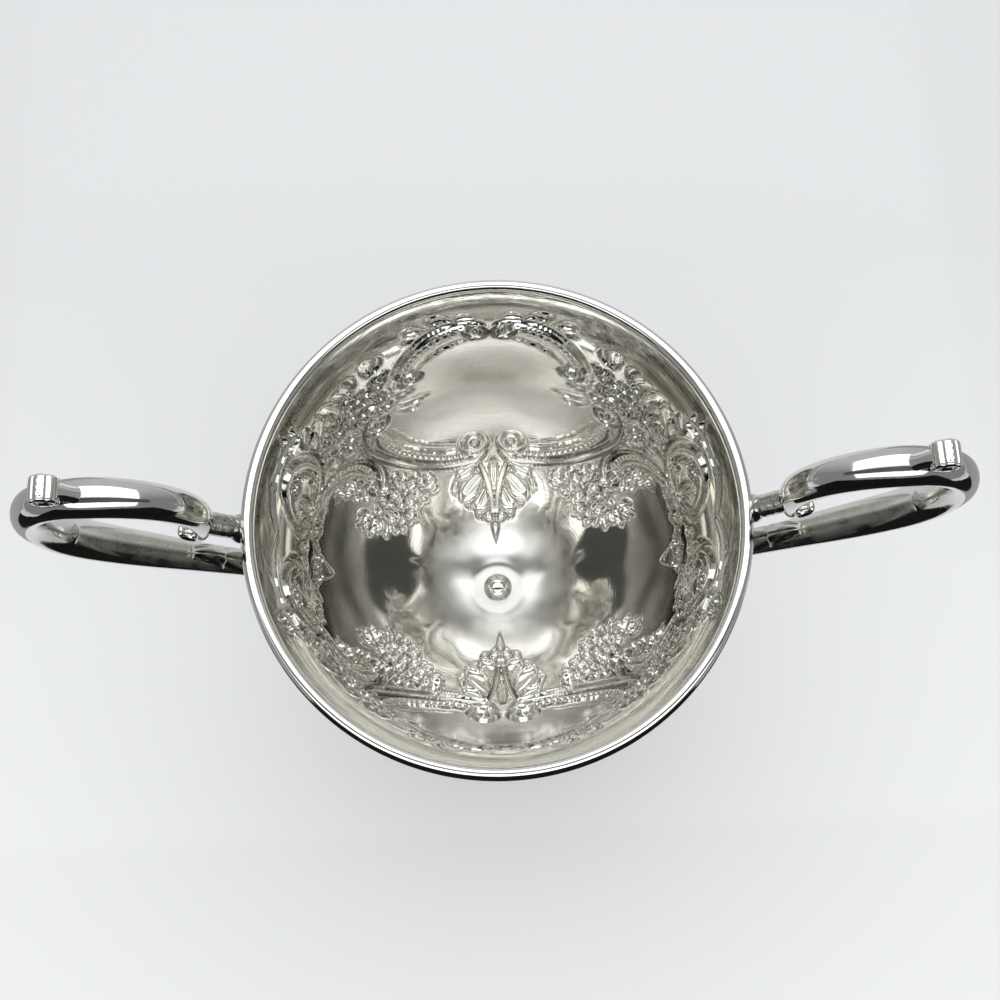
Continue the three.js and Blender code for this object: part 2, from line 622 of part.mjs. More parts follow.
/** The rolled strip, with raised edges: narrower and thicker at the foot of its stem, and with an eye. */
function thumbScroll() {
  const line = thumbLine();
  const stations = 22;
  const rings = Array.from({ length: stations + 1 }, (_, i) => {
    const share = i / stations;
    const point = line.getPointAt(share);
    const along = line.getTangentAt(share);
    const outward = new THREE.Vector3(along.z, 0, -along.x);
    const risen = THREE.MathUtils.smoothstep(share, 0, 0.26);
    const width = (THUMB.width / 2) * THREE.MathUtils.lerp(0.55, 1, risen);
    const half = (THUMB_STRIP / 2) * THREE.MathUtils.lerp(2.2, 1, risen);
    const face = (height) => [-1, -0.55, 0.55, 1].map((y) => (
      point.clone().addScaledVector(outward, height).setY(y * width)));
    const band = face(half);
    band[1].addScaledVector(outward, -THUMB_GROOVE);
    band[2].addScaledVector(outward, -THUMB_GROOVE);
    return [...band, ...face(-half).reverse()];
  });
  const eye = new THREE.CylinderGeometry(THUMB.eye, THUMB.eye, THUMB.width + 2 * EYE_PROUD, 12);
  const roll = join(loft(rings), weld(eye.translate(THUMB.out, 0, RIM_Z + THUMB.up)));
  return cut(roll, handleStretch(0.25, 0.6, 12, GAP));
}

function strut() {
  const line = new THREE.CatmullRomCurve3(STRUT.map(([out, up]) => new THREE.Vector3(out, 0, RIM_Z + up)));
  const rings = STRUT.map(([, , radius], i) => {
    const t = i / (STRUT.length - 1);
    const point = line.getPoint(t);
    const along = line.getTangent(t);
    const side = new THREE.Vector3(0, 1, 0);
    const front = new THREE.Vector3().crossVectors(side, along);
    return Array.from({ length: HANDLE_SIDES }, (_, j) => {
      const angle = (2 * Math.PI * j) / HANDLE_SIDES;
      const spoke = side.clone().multiplyScalar(Math.cos(angle)).addScaledVector(front, Math.sin(angle));
      return spoke.multiplyScalar(radius).add(point);
    });
  });
  return cut(loft(rings), bowlTool(GAP), lipTool(), handleStretch(0, 0.3, 14, GAP));
}

/** Acanthus leaf: a thin lobed shell along the inside of the lower scroll, with a knob at its tip. */
function leafMount() {
  const { tip, root, reach, thickness, lobes, knob } = LEAF;
  const rows = 13;
  const columns = 6;
  const rings = Array.from({ length: rows + 1 }, (_, i) => {
    const along = i / rows;
    const share = THREE.MathUtils.lerp(tip, root, along);
    const lobe = 0.8 + 0.2 * Math.abs(Math.cos(Math.PI * lobes * along));
    const spread = THREE.MathUtils.degToRad(reach) * lobe * Math.sqrt(Math.min(1, along * 1.8 + 0.12));
    const rolled = knob * Math.sqrt(Math.max(0, 1 - (along / 0.14 - 0.9) ** 2));
    const skin = (top) => Array.from({ length: columns + 1 }, (_, j) => {
      const side = (2 * j) / columns - 1;
      const rib = (thickness + rolled) * (0.55 + 0.45 * Math.cos(Math.PI * 0.5 * side) ** 2);
      return onHandle(share, side * spread, GAP + (top ? rib : 0));
    });
    return [...skin(false), ...skin(true).reverse()];
  });
  return cut(loft(rings), bowlTool(PLATE.thickness + 2 * GAP));
}

/** One handle, made for the right and turned half round for the left. */
function handle(side) {
  const group = new THREE.Group();
  group.rotation.z = side === 'left' ? Math.PI : 0;
  const upper = handleStretch(0, HANDLE_JOINT - GAP / handleLine.getLength(), 19, 0, 1.5);
  const lower = cut(handleStretch(HANDLE_JOINT, 1, 28), bowlTool(PLATE.thickness + 2 * GAP));
  group.add(
    piece(`upper_scroll_${side}`, upper, SILVER),
    piece(`lower_scroll_${side}`, lower, SILVER),
    piece(`thumb_scroll_${side}`, thumbScroll(), SILVER),
    piece(`handle_strut_${side}`, strut(), DARK_SILVER),
    piece(`leaf_mount_${side}`, leafMount(), DARK_SILVER),
    piece(`wall_plate_${side}`, wallPlate(), SILVER),
  );
  return group;
}

const cup = new THREE.Group();
cup.add(
  piece('bowl', bowl(), WORN_SILVER),
  piece('lip_wire', lipWire(), SILVER),
  piece('bowl_seat', bowlSeat(), SILVER),
  piece('stem_knop', stemKnop(), SILVER),
  piece('foot', foot(), SILVER),
  piece('foot_wire', footWire(), SILVER),
  piece('centre_stud', centreStud(), WORN_SILVER),
  piece('stud_washer', washer(), BRASS),
  piece('stud_nut', nut(), BRASS),
  handle('right'),
  handle('left'),
);

export default cup;
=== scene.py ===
from math import cos, dist, pi, radians, sin, sqrt

import bpy
import numpy as np
from mathutils import Matrix, Vector

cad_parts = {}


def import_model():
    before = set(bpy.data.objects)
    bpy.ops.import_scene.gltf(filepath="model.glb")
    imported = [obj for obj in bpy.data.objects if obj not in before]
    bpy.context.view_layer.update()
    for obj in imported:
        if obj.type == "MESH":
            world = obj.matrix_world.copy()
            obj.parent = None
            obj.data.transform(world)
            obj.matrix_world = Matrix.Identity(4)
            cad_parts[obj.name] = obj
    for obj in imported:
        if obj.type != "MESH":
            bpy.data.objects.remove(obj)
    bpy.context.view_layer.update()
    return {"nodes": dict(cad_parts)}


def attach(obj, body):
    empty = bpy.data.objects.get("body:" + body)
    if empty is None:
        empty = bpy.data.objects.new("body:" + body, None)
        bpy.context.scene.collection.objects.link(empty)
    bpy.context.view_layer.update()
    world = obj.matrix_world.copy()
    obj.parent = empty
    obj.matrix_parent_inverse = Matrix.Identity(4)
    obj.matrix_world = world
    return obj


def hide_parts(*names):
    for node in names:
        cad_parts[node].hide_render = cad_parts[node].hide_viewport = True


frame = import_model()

MM = 0.001
# The silvers' material names.
POLISHED, CHASED, CAST = "polished_silver", "chased_silver", "cast_silver"

# The plain bowl

RIM_Z = 162.0
FLOOR_Z = 50.0
SHEET = 1.0
LIP_RADIUS = 62.9
WALL_RADIUS = 55.25
FLARE_LENGTH = 9.0
WALL_END = 48.75
FLOOR_FLAT = 8.0
BOWL_DEPTH = RIM_Z - FLOOR_Z


def bowl_side():
    """The plain inside, from the lip to the floor: distance along it, radius and height."""
    floor = WALL_END + (BOWL_DEPTH - WALL_END) * np.sin(np.linspace(0, pi / 2, 400)[1:])
    depth = np.append(np.linspace(0, WALL_END, 300), floor)
    straight = WALL_RADIUS + (LIP_RADIUS - WALL_RADIUS) * np.exp(-np.minimum(depth, WALL_END) / FLARE_LENGTH)
    height = (BOWL_DEPTH - WALL_END) / sqrt(1 - (FLOOR_FLAT / straight[-1]) ** 2)
    radius = straight * np.sqrt(1 - (np.maximum(depth - WALL_END, 0) / height) ** 2)
    along = np.append(0, np.cumsum(np.hypot(np.diff(radius), np.diff(depth))))
    return along, radius, RIM_Z - depth


SIDE_ALONG, SIDE_RADIUS, SIDE_HEIGHT = bowl_side()

# The ornament is a height field over a quarter of the bowl. Places are in degrees from the middle of
# a cartouche, up to 90 at a handle, and in mm down the side from the lip.
FIELD_STEP = 0.25
FIELD_DEPTH = 128.0
FIELD_DEGREES = np.arange(0, 90 + FIELD_STEP, FIELD_STEP)
FIELD_DOWN = np.arange(0, FIELD_DEPTH + FIELD_STEP, FIELD_STEP)
GRID_DEGREES, GRID_DOWN = np.meshgrid(FIELD_DEGREES, FIELD_DOWN)
MM_PER_DEGREE = np.radians(np.interp(GRID_DOWN, SIDE_ALONG, SIDE_RADIUS))
CHASED_LINE = 0.42
FINGER_WIDTH = 1.9


def degree_at(down):
    """Millimetres to a degree of azimuth at a distance down the side."""
    return radians(np.interp(down, SIDE_ALONG, SIDE_RADIUS))


def window(degrees, down, reach):
    """The part of the grid within a reach in mm of some places."""
    margin = reach / degree_at(min(FIELD_DEPTH, np.max(down) + reach))
    d0, d1 = np.searchsorted(FIELD_DEGREES, [np.min(degrees) - margin, np.max(degrees) + margin])
    s0, s1 = np.searchsorted(FIELD_DOWN, [np.min(down) - reach, np.max(down) + reach])
    return slice(max(0, s0), s1 + 1), slice(max(0, d0), d1 + 1)


def smooth_path(points):
    """Evenly spaced points on a curve through places on the bowl."""
    p = np.array(points, float)
    p = np.vstack([2 * p[0] - p[1], p, 2 * p[-1] - p[-2]])
    t = np.linspace(0, 1, 24, endpoint=False)[:, None]
    runs = [(2 * b + (c - a) * t + (2 * a - 5 * b + 4 * c - d) * t ** 2 + (3 * b - a - 3 * c + d) * t ** 3) / 2
            for a, b, c, d in zip(p, p[1:], p[2:], p[3:])]
    curve = np.vstack([*runs, p[-2:-1]])
    steps = np.diff(curve, axis=0)
    lengths = np.hypot(steps[:, 0] * degree_at(curve[:, 1].mean()), steps[:, 1])
    along = np.append(0, np.cumsum(lengths))
    even = np.linspace(0, along[-1], max(3, int(along[-1] / 0.6)))
    return np.column_stack([np.interp(even, along, curve[:, k]) for k in (0, 1)])


def beside(middle, across, down):
    """Places at distances in mm sideways and down from one."""
    return middle[0] + across / degree_at(middle[1]), middle[1] + down


def spiral(middle, radius, start, turns):
    """A spiral that winds inwards. Angles are in degrees from sideways towards down."""
    t = np.linspace(0, 1, 40)
    angle = radians(start) + 2 * pi * turns * t
    r = radius * (1 - 0.85 * t)
    return np.column_stack(beside(middle, r * np.cos(angle), r * np.sin(angle)))


def nearest(path, reach):
    """The grid round a path: its place, signed distance from the path, distance along it and its length."""
    place = window(path[:, 0], path[:, 1], reach)
    scale, degrees, down = MM_PER_DEGREE[place], GRID_DEGREES[place], GRID_DOWN[place]
    best = np.full(degrees.shape, 1e9)
    signed, along = np.zeros_like(best), np.zeros_like(best)
    travelled = 0.0
    for (d0, s0), (d1, s1) in zip(path, path[1:]):
        ax, ay = (degrees - d0) * scale, down - s0
        bx, by = (d1 - d0) * scale, s1 - s0
        length2 = np.maximum(bx * bx + by * by, 1e-9)
        share = unit((ax * bx + ay * by) / length2)
        dx, dy = ax - share * bx, ay - share * by
        distance = dx * dx + dy * dy
        closer = distance < best
        best = np.where(closer, distance, best)
        signed = np.where(closer, np.sign(bx * ay - by * ax) * np.sqrt(distance), signed)
        along = np.where(closer, travelled + share * np.sqrt(length2), along)
        travelled += float(np.sqrt(length2).mean())
    return place, signed, along, travelled


def around(middle, reach):
    """The grid round a point: its place, and mm sideways and down from the point."""
    place = window(*middle, reach)
    return place, (GRID_DEGREES[place] - middle[0]) * MM_PER_DEGREE[place], GRID_DOWN[place] - middle[1]


def grown(mask, steps):
    """The mask, wider by some steps of the grid."""
    for _ in range(steps):
        wide = np.pad(mask, 1)
        mask = wide[1:-1, 1:-1] | wide[:-2, 1:-1] | wide[2:, 1:-1] | wide[1:-1, :-2] | wide[1:-1, 2:]
    return mask


def emboss(relief, place, shape):
    """Sets a form over what is there, with a chased line round it."""
    inside = shape > 0.03
    line = grown(inside, 2) & ~inside
    field = np.where(line, np.minimum(0.4 * relief[place], 0.2) - CHASED_LINE, relief[place])
    relief[place] = np.where(inside, shape, field)


def unit(x):
    """Keeps values from 0 to 1."""
    return np.clip(x, 0, 1)


def dome(x):
    """A half-round section from -1 to 1, and 0 outside it."""
    return np.sqrt(unit(1 - x * x))


def taper(along, length, ends, least):
    """Narrows a stroke towards its ends."""
    return least + (1 - least) * unit(np.minimum(along, length - along) / ends) ** 0.5


def ridge(relief, path, half_width, height, ends=3, narrow=0.3, low=0.5):
    """A plain half-round ridge along a path."""
    place, signed, along, length = nearest(path, half_width + 1)
    width = half_width * taper(along, length, ends, narrow)
    emboss(relief, place, height * taper(along, length, ends, low) * dome(signed / width))


def stroke(relief, points, half_width, height):
    ridge(relief, smooth_path(points), half_width, height)


def oval(relief, middle, across, high, start, end, half_width, height):
    """Part of an oval ridge."""
    turn = np.radians(np.linspace(start, end, 48))
    path = np.column_stack(beside(middle, across * np.cos(turn), high * np.sin(turn)))
    ridge(relief, path, half_width, height, 8, 0.4, 0.6)


def frame_band(relief, points, half_width, outside, beads=2.3):
    """A moulded scroll band: a bold outer round, long beads and a broad, ragged inner round."""
    place, signed, along, length = nearest(smooth_path(points), half_width + 1.5)
    v = outside * signed / (half_width * taper(along, length, 4.0, 0.55))
    bead = dome((v + 0.1) / 0.15) * (0.3 + 0.7 * unit(2.5 * np.cos(2 * pi * along / beads) + 1.4))
    ragged = 0.42 + 0.05 * np.sin(2 * pi * along / 6.3) + 0.03 * np.sin(2 * pi * along / 2.7)
    rounds = 1.8 * dome((v + 0.68) / 0.32), 0.2 * dome(v / 1.02), 1.35 * bead, dome((v - 0.6) / ragged)
    emboss(relief, place, np.maximum.reduce(rounds))


def volute(relief, middle, radius, start, turns):
    """A scroll's eye: a sunk disc, a spiral that gets finer and a button."""
    place, x, y = around(middle, radius + 1)
    r = np.hypot(x, y) / radius
    emboss(relief, place, np.where(r < 1, 1.7 * dome((r - 0.84) / 0.16) - 0.1 * (r < 0.68), 0))
    place, signed, along, length = nearest(spiral(middle, radius * 0.86, start, turns), radius)
    finer = 0.3 * along / length
    relief[place] = np.maximum(relief[place], (1.75 - finer) * dome(signed / (0.15 * radius * (1 - finer))))
    place, x, y = around(middle, radius)
    relief[place] = np.maximum(relief[place], 1.8 * dome(np.hypot(x, y) / (0.2 * radius)))


def petal(relief, root, angle, length, width, height=1.25, bend=0, point=1, vein=0.3):
    """A leaf or petal, at an angle from sideways towards down. A high point number gives a sharp tip."""
    place, x, y = around(root, 1.2 * length + width + 1)
    c, s = cos(radians(angle)), sin(radians(angle))
    u = (x * c + y * s) / length
    w = -x * s + y * c - bend * length * u * u
    inside = (u > 0) & (u < 1)
    u = unit(u)
    edge = width / 2 * np.sin(pi * u ** (0.75 if point > 1 else 1.3)) ** (0.6 * point)
    v = w / np.maximum(edge, 0.05)
    body = dome(v) ** 0.7 * np.minimum(1, 0.45 + 3 * u) * np.minimum(1, 5 * (1 - u)) ** 0.4
    groove = vein * (width > 2.6) * np.exp(-(w / 0.32) ** 2) * unit(4 * (0.85 - u))
    emboss(relief, place, np.where(inside & (np.abs(v) < 1), height * (body - groove), 0))


def leaf(relief, root, angle, length, width, fingers=3, fan=24, bend=0, height=1.3):
    """A lobe of acanthus: fingers from one root, the middle one last and longest."""
    half = (fingers - 1) / 2
    for k in sorted(range(fingers), key=lambda k: -abs(k - half)):
        petal(relief, root, angle + (k - half) * fan, length * (1 - 0.16 * abs(k - half)),
              width / fingers * FINGER_WIDTH, height, bend + 0.05 * (k - half))


def berry(relief, middle, radius, height=1.1):
    place, x, y = around(middle, radius + 1)
    emboss(relief, place, height * dome(np.hypot(x, y) / radius))


def rosette(relief, middle, radius, petals, turn, height=1.3):
    """A flower of separate cupped petals about a button."""
    for k in range(petals):
        angle = turn + 360 * k / petals
        step = 0.1 * radius
        root = beside(middle, step * cos(radians(angle)), step * sin(radians(angle)))
        petal(relief, root, angle, radius, 1.45 * radius * sin(pi / petals), height, 0, 0.8, 0)
    berry(relief, middle, 0.25 * radius, 1.2 * height)


# A row of a table below holds the first values that leaf or rosette takes.


def palmette(relief):
    """Acanthus under the cartouche: lobes beside two stems that join, and a long tip."""
    petal(relief, (0, 100), 90, 28, 5.6, 1.5, 0, 1.6, 0.4)
    leaf(relief, (1, 112.5), 60, 9, 6, 2, 30)
    leaf(relief, (3, 107), 44, 11.5, 8, 2, 28, 0.05)
    leaf(relief, (5, 101.5), 27, 14, 9, 2, 24, 0.06)
    leaf(relief, (7, 97), 8, 10.5, 7, 2, 26, 0.05)
    petal(relief, (0, 95), 90, 15, 3.6, 1.2, 0, 1.3, 0.4)
    stroke(relief, [(8, 95), (5.8, 99.5), (3.4, 106), (1.9, 113), (1.2, 119)], 0.8, 1.9)


def garland(relief):
    """Flowers, berries and leaves that hang between two cartouches."""
    for lobe in (
            ((38, 97), 158, 7, 4.6, 2), ((36, 95), -175, 5.5, 3.6, 2), ((58, 93), 38, 8.5, 5.4, 3),
            ((56, 97), 72, 7.5, 5, 3), ((60, 89), 8, 8.5, 5.2, 3), ((52, 100), 100, 5.5, 4, 3),
            ((62, 86), -30, 7.5, 4.6, 3), ((43, 98), 120, 5.5, 4, 3)):
        leaf(relief, *lobe, 28)
    for flower in (
            ((39.5, 93.5), 4.2, 5, 10), ((55, 90.5), 5.2, 5, 50), ((51.5, 99.4), 4.6, 5, 30),
            ((47, 86.6), 4.2, 5, 0), ((45.2, 95.2), 5.2, 6, 20)):
        rosette(relief, *flower, 1.6)
    for middle in ((49.8, 91), (58.6, 96), (41.4, 87.8)):
        berry(relief, middle, 1.5)


def flower_bank(relief):
    """Flowers, berries and leaves between the cartouche and the handle's panel."""
    for lobe in (
            ((33, 50), 135, 14, 6.5), ((32, 44), 172, 8, 5), ((51.5, 31), -103, 20, 8),
            ((53, 34), -70, 17, 6.5), ((57, 46), -62, 19, 6), ((50, 50), 52, 11, 7), ((46, 57), 80, 9, 6),
            ((57, 38), -30, 10, 6), ((44, 22), -80, 10, 6.5), ((37.5, 20), -118, 9, 6),
            ((61, 29), -100, 16, 6), ((32.5, 30), -165, 5, 3.8)):
        leaf(relief, *lobe, 2, 28, 0.12)
    for flower in (
            ((35, 26.5), 4.8, 5, 10), ((43, 28), 5, 5, 40), ((36, 37.5), 4.6, 5, 60), ((50, 35), 5, 5, 50),
            ((43, 39.5), 5.4, 6, 20), ((37, 47.5), 4.6, 5, 0), ((45.5, 51), 5, 5, 15), ((53, 47), 4.6, 5, 45)):
        rosette(relief, *flower, 1.5)
    for middle in ((39, 32.4), (46.8, 33), (39.6, 43), (47.4, 44.6), (33, 42.4), (41, 54.4), (50.2, 55.6)):
        berry(relief, middle, 1.5)


def handle_panel(relief):
    """An oval scroll with a spray in it, and a beaded scroll and a flower under it."""
    for lobe in (
            ((83, 50), 105, 12, 5), ((78, 52), 130, 9, 4.6), ((87, 46), -75, 14, 5), ((62, 38), -130, 9, 4.6),
            ((64, 20), -120, 9, 4.6), ((70, 12), -150, 9, 4)):
        leaf(relief, *lobe, 3, 24, 0.1)
    oval(relief, (74.8, 32.5), 10.6, 19.5, 95, 428, 1.5, 1.6)
    oval(relief, (75.4, 33.5), 7.2, 14.5, 120, 440, 0.8, 1.2)
    volute(relief, (77.5, 49), 3.2, 90, 1.4)
    for angle, length in ((-128, 12), (-52, 12), (-110, 17), (-70, 17), (-90, 20)):
        petal(relief, (75.6, 46), angle, length, 4, 1.4, 0.06)
    rosette(relief, (74.6, 22), 3.6, 5, 15)
    for lobe in (((56, 67), 25, 8), ((55.5, 71), 42, 8), ((55, 75), 60, 7.5), ((60, 64), 10, 7)):
        leaf(relief, *lobe, 4.6, 3, 26)
    frame_band(relief, [(67, 53.5), (61.8, 57.2), (56.6, 62), (52.6, 68), (50.6, 74.5), (51.2, 80)],
               3, -1, 2.1)
    stroke(relief, [(71, 48.5), (65.5, 50.5), (59, 55.5), (52.5, 62), (47.8, 69.5), (46.4, 77), (47.6, 83),
                    (51.5, 86), (55, 83.5)], 1.05, 1.6)
    volute(relief, (53.4, 81.8), 2.8, 60, 1.3)
    petal(relief, (90, 52), 90, 22, 7, 1.3, 0, 1.4)
    rosette(relief, (90, 60), 5.4, 7, 20, 1.5)
    stroke(relief, [(62, 11), (68, 8.5), (76, 8), (84, 9.5), (90, 13)], 0.8, 0.5)


def cartouche(relief):
    """Two C-scrolls over and two under a blank oval field, with their eyes and the crest."""
    for lobe in (((1.5, 13.2), -12, 9, 3.6), ((9, 12.6), -16, 10, 3.8), ((17, 14), -24, 9, 3.4)):
        leaf(relief, *lobe, 2, 26, 0.1, 0.65)
    frame_band(relief, [(5.5, 17.2), (11, 18.4), (16.5, 20.5), (21.5, 24), (25, 28.5), (26.6, 33.5)], 5.2, 1)
    stroke(relief, [(1.2, 14.4), (4, 12.8), (7, 12.6), (14, 13.2), (20.5, 15.8), (26.4, 20.8), (30, 26.5),
                    (31.2, 32.5), (29.8, 38), (26.5, 42)], 1.1, 1.2)
    volute(relief, (4, 18.6), 3.8, 200, 1.5)
    volute(relief, (25.2, 37.8), 4.4, -60, 1.5)
    frame_band(relief, [(40.4, 64), (39.4, 71), (36, 79), (29.6, 86), (21, 90.8), (12.3, 92.4)], 4.9, 1)
    stroke(relief, [(37.5, 51.5), (39, 48.5), (42.4, 48.8), (45.3, 54), (46.6, 61), (46, 69.5), (41.8, 79.6),
                    (35, 88), (25.5, 94.2), (14, 96.8), (7.5, 96.4), (2.4, 92)], 1.15, 1.7)
    volute(relief, (39.8, 56.4), 4.8, 160, 1.5)
    volute(relief, (8.2, 88.4), 5.4, 120, 1.5)


def soften(field, passes):
    """Rounds off a field a little, across and then down in each pass."""
    for _ in range(2 * passes):
        wide = np.pad(field, ((0, 0), (1, 1)), mode="edge")
        field = ((wide[:, :-2] + 2 * wide[:, 1:-1] + wide[:, 2:]) / 4).T
    return field


def ornament():
    """The whole quarter's relief in mm."""
    relief = np.zeros_like(GRID_DOWN)
    for draw in (palmette, garland, flower_bank, handle_panel, cartouche):
        draw(relief)
    return soften(relief, 1)


# Mesh helpers


def new_object(name, data):
    """An object in the scene."""
    thing = bpy.data.objects.new(name, data)
    bpy.context.scene.collection.objects.link(thing)
    return thing


def make_piece(name, points, faces, material, node, slot, attributes=None, sharp=40):
    """A piece of the cup, from points in mm, that replaces its solid."""
    mesh = bpy.data.meshes.new(name)
    mesh.from_pydata((points * MM).tolist(), [], faces)
    for label, values in (attributes or {}).items():
        layer = mesh.attributes.new(label, "FLOAT", "POINT")
        layer.data.foreach_set("value", np.asarray(values, np.float32))
    mesh.materials.append(material)
    mesh.validate()
    mesh.shade_smooth()
    mesh.set_sharp_from_angle(angle=radians(sharp))
    piece = new_object(name, mesh)
    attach(piece, "root")
    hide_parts(node)


def grid_faces(rows, columns, wrap_rows=False):
    """Quads of a grid that is closed round its columns, and round its rows if asked."""
    r, c = np.meshgrid(range(rows if wrap_rows else rows - 1), range(columns), indexing="ij")
    this, following, right = r * columns, (r + 1) % rows * columns, (c + 1) % columns
    return np.stack([this + c, this + right, following + right, following + c], -1).reshape(-1, 4).tolist()


def capped_faces(rows, columns):
    """A grid's quads with a flat at each end."""
    last = (rows - 1) * columns
    return grid_faces(rows, columns) + [list(range(columns))[::-1], list(range(last, last + columns))]


def tube_faces(rows, columns):
    return [face[::-1] for face in capped_faces(rows, columns)]


def full_turn(count):
    """Angles all round, evenly spaced."""
    return np.linspace(0, 2 * pi, count, endpoint=False)


def turned(profile, turns, relief=None):
    """Points of a profile turned about Z."""
    azimuth = full_turn(turns)
    radius, height = (np.repeat(profile[:, k:k + 1], turns, axis=1) for k in (0, 1))
    if relief:
        radius, height = relief(azimuth[None, :], radius, height)
    return np.stack([radius * np.cos(azimuth), radius * np.sin(azimuth), height], -1).reshape(-1, 3)


def turned_ring(profile, turns, relief=None):
    """Points and faces of a ring. Its profile runs clockwise, outside first."""
    return turned(profile, turns, relief), grid_faces(len(profile), turns, wrap_rows=True)


def arc(middle, across, up, start, end, steps):
    """Points on part of an ellipse. Angles are in degrees from outwards towards up."""
    angle = np.radians(np.linspace(start, end, steps + 1))
    return np.column_stack([middle[0] + across * np.cos(angle), middle[1] + up * np.sin(angle)])


def bezier(a, b, c, d, steps):
    t = np.linspace(0, 1, steps + 1)[:, None]
    a, b, c, d = (np.array(p, float) for p in (a, b, c, d))
    return (1 - t) ** 3 * a + 3 * (1 - t) ** 2 * t * b + 3 * (1 - t) * t ** 2 * c + t ** 3 * d


def directions(line):
    """Steps along a line, each of length 1."""
    step = np.gradient(line, axis=0)
    return step / np.linalg.norm(step, axis=1)[:, None]


def offset(profile, distance):
    """The profile moved to the right of its direction."""
    step = directions(profile)
    return profile + distance * np.column_stack([step[:, 1], -step[:, 0]])


# Bowl, lip and floor

BOWL_TURNS = 1024
PLAIN_STEP = 0.8
CHASED_STEP = 0.42
CHASED_ROWS = (7.0, 121.0)
STUD_HOLE = 2.8
STUD_HEAD = 4.9
STUD_HIGH = 3.6
MOAT_RADIUS = 11.0
MOAT_DEPTH = 0.15
SATIN_RADIUS = 25.0
SATIN_EDGE = 14.0
FIELD_ACROSS = 40.0
FIELD_MIDDLE = 56.0
FIELD_HIGH = 34.0
PLATE_UP = -65.2
PLATE_ACROSS = 6.4
PLATE_HIGH = 8.4
PLATE_THICKNESS = 0.9


def fold_degrees(azimuth):
    """Degrees from the nearest cartouche's middle, for azimuths in radians from +X."""
    return np.abs(np.degrees(azimuth) % 180 - 90)


def sample_field(field, degrees, down):
    """Reads a field between its grid points."""
    x = np.clip(degrees / FIELD_STEP, 0, field.shape[1] - 1.001)
    y = np.clip(down / FIELD_STEP, 0, field.shape[0] - 1.001)
    i, j = y.astype(int), x.astype(int)
    fy, fx = y - i, x - j
    top = field[i, j] * (1 - fx) + field[i, j + 1] * fx
    low = field[i + 1, j] * (1 - fx) + field[i + 1, j + 1] * fx
    return (top * (1 - fy) + low * fy) * (down < FIELD_DEPTH)


def crevices(field):
    """Where the silver is darkened, 0 to 1: tarnish in narrow hollows, and painted shade on steep edges."""
    slope = np.hypot(*np.gradient(field, FIELD_STEP))
    # The slope term paints shade on steep edges; the hollow term is tarnish.
    return unit(np.maximum((soften(field, 3) - field) * 2.5, (slope - 0.9) * 0.45))


def hand_work(azimuth, down):
    """The slow unevenness of a hammered wall, in mm. It fades out at the lip and the floor."""
    waves = (0.07 * np.sin(3 * azimuth + 0.05 * down) + 0.05 * np.sin(7 * azimuth - 0.11 * down + 1.3)
             + 0.035 * np.sin(13 * azimuth + 0.19 * down + 0.4) + 0.05 * np.sin(0.13 * down + 2 * azimuth))
    return waves * unit((down - 3) / 8) * unit((SIDE_ALONG[-1] - down) / 22)


def bowl_line():
    """The inside from the lip to the stud hole: distance down, radius and height."""
    start = np.interp(RIM_Z - 2, SIDE_HEIGHT[::-1], SIDE_ALONG[::-1])
    down = np.concatenate([np.arange(start, CHASED_ROWS[0], PLAIN_STEP), np.arange(*CHASED_ROWS, CHASED_STEP),
                           np.arange(CHASED_ROWS[1], SIDE_ALONG[-1], PLAIN_STEP)])
    radius, height = np.interp(down, SIDE_ALONG, SIDE_RADIUS), np.interp(down, SIDE_ALONG, SIDE_HEIGHT)
    flat = np.arange(FLOOR_FLAT - PLAIN_STEP, STUD_HOLE, -PLAIN_STEP)
    down = np.append(down, SIDE_ALONG[-1] + FLOOR_FLAT - flat)
    return down, np.append(radius, flat), np.append(height, np.full(len(flat), FLOOR_Z))


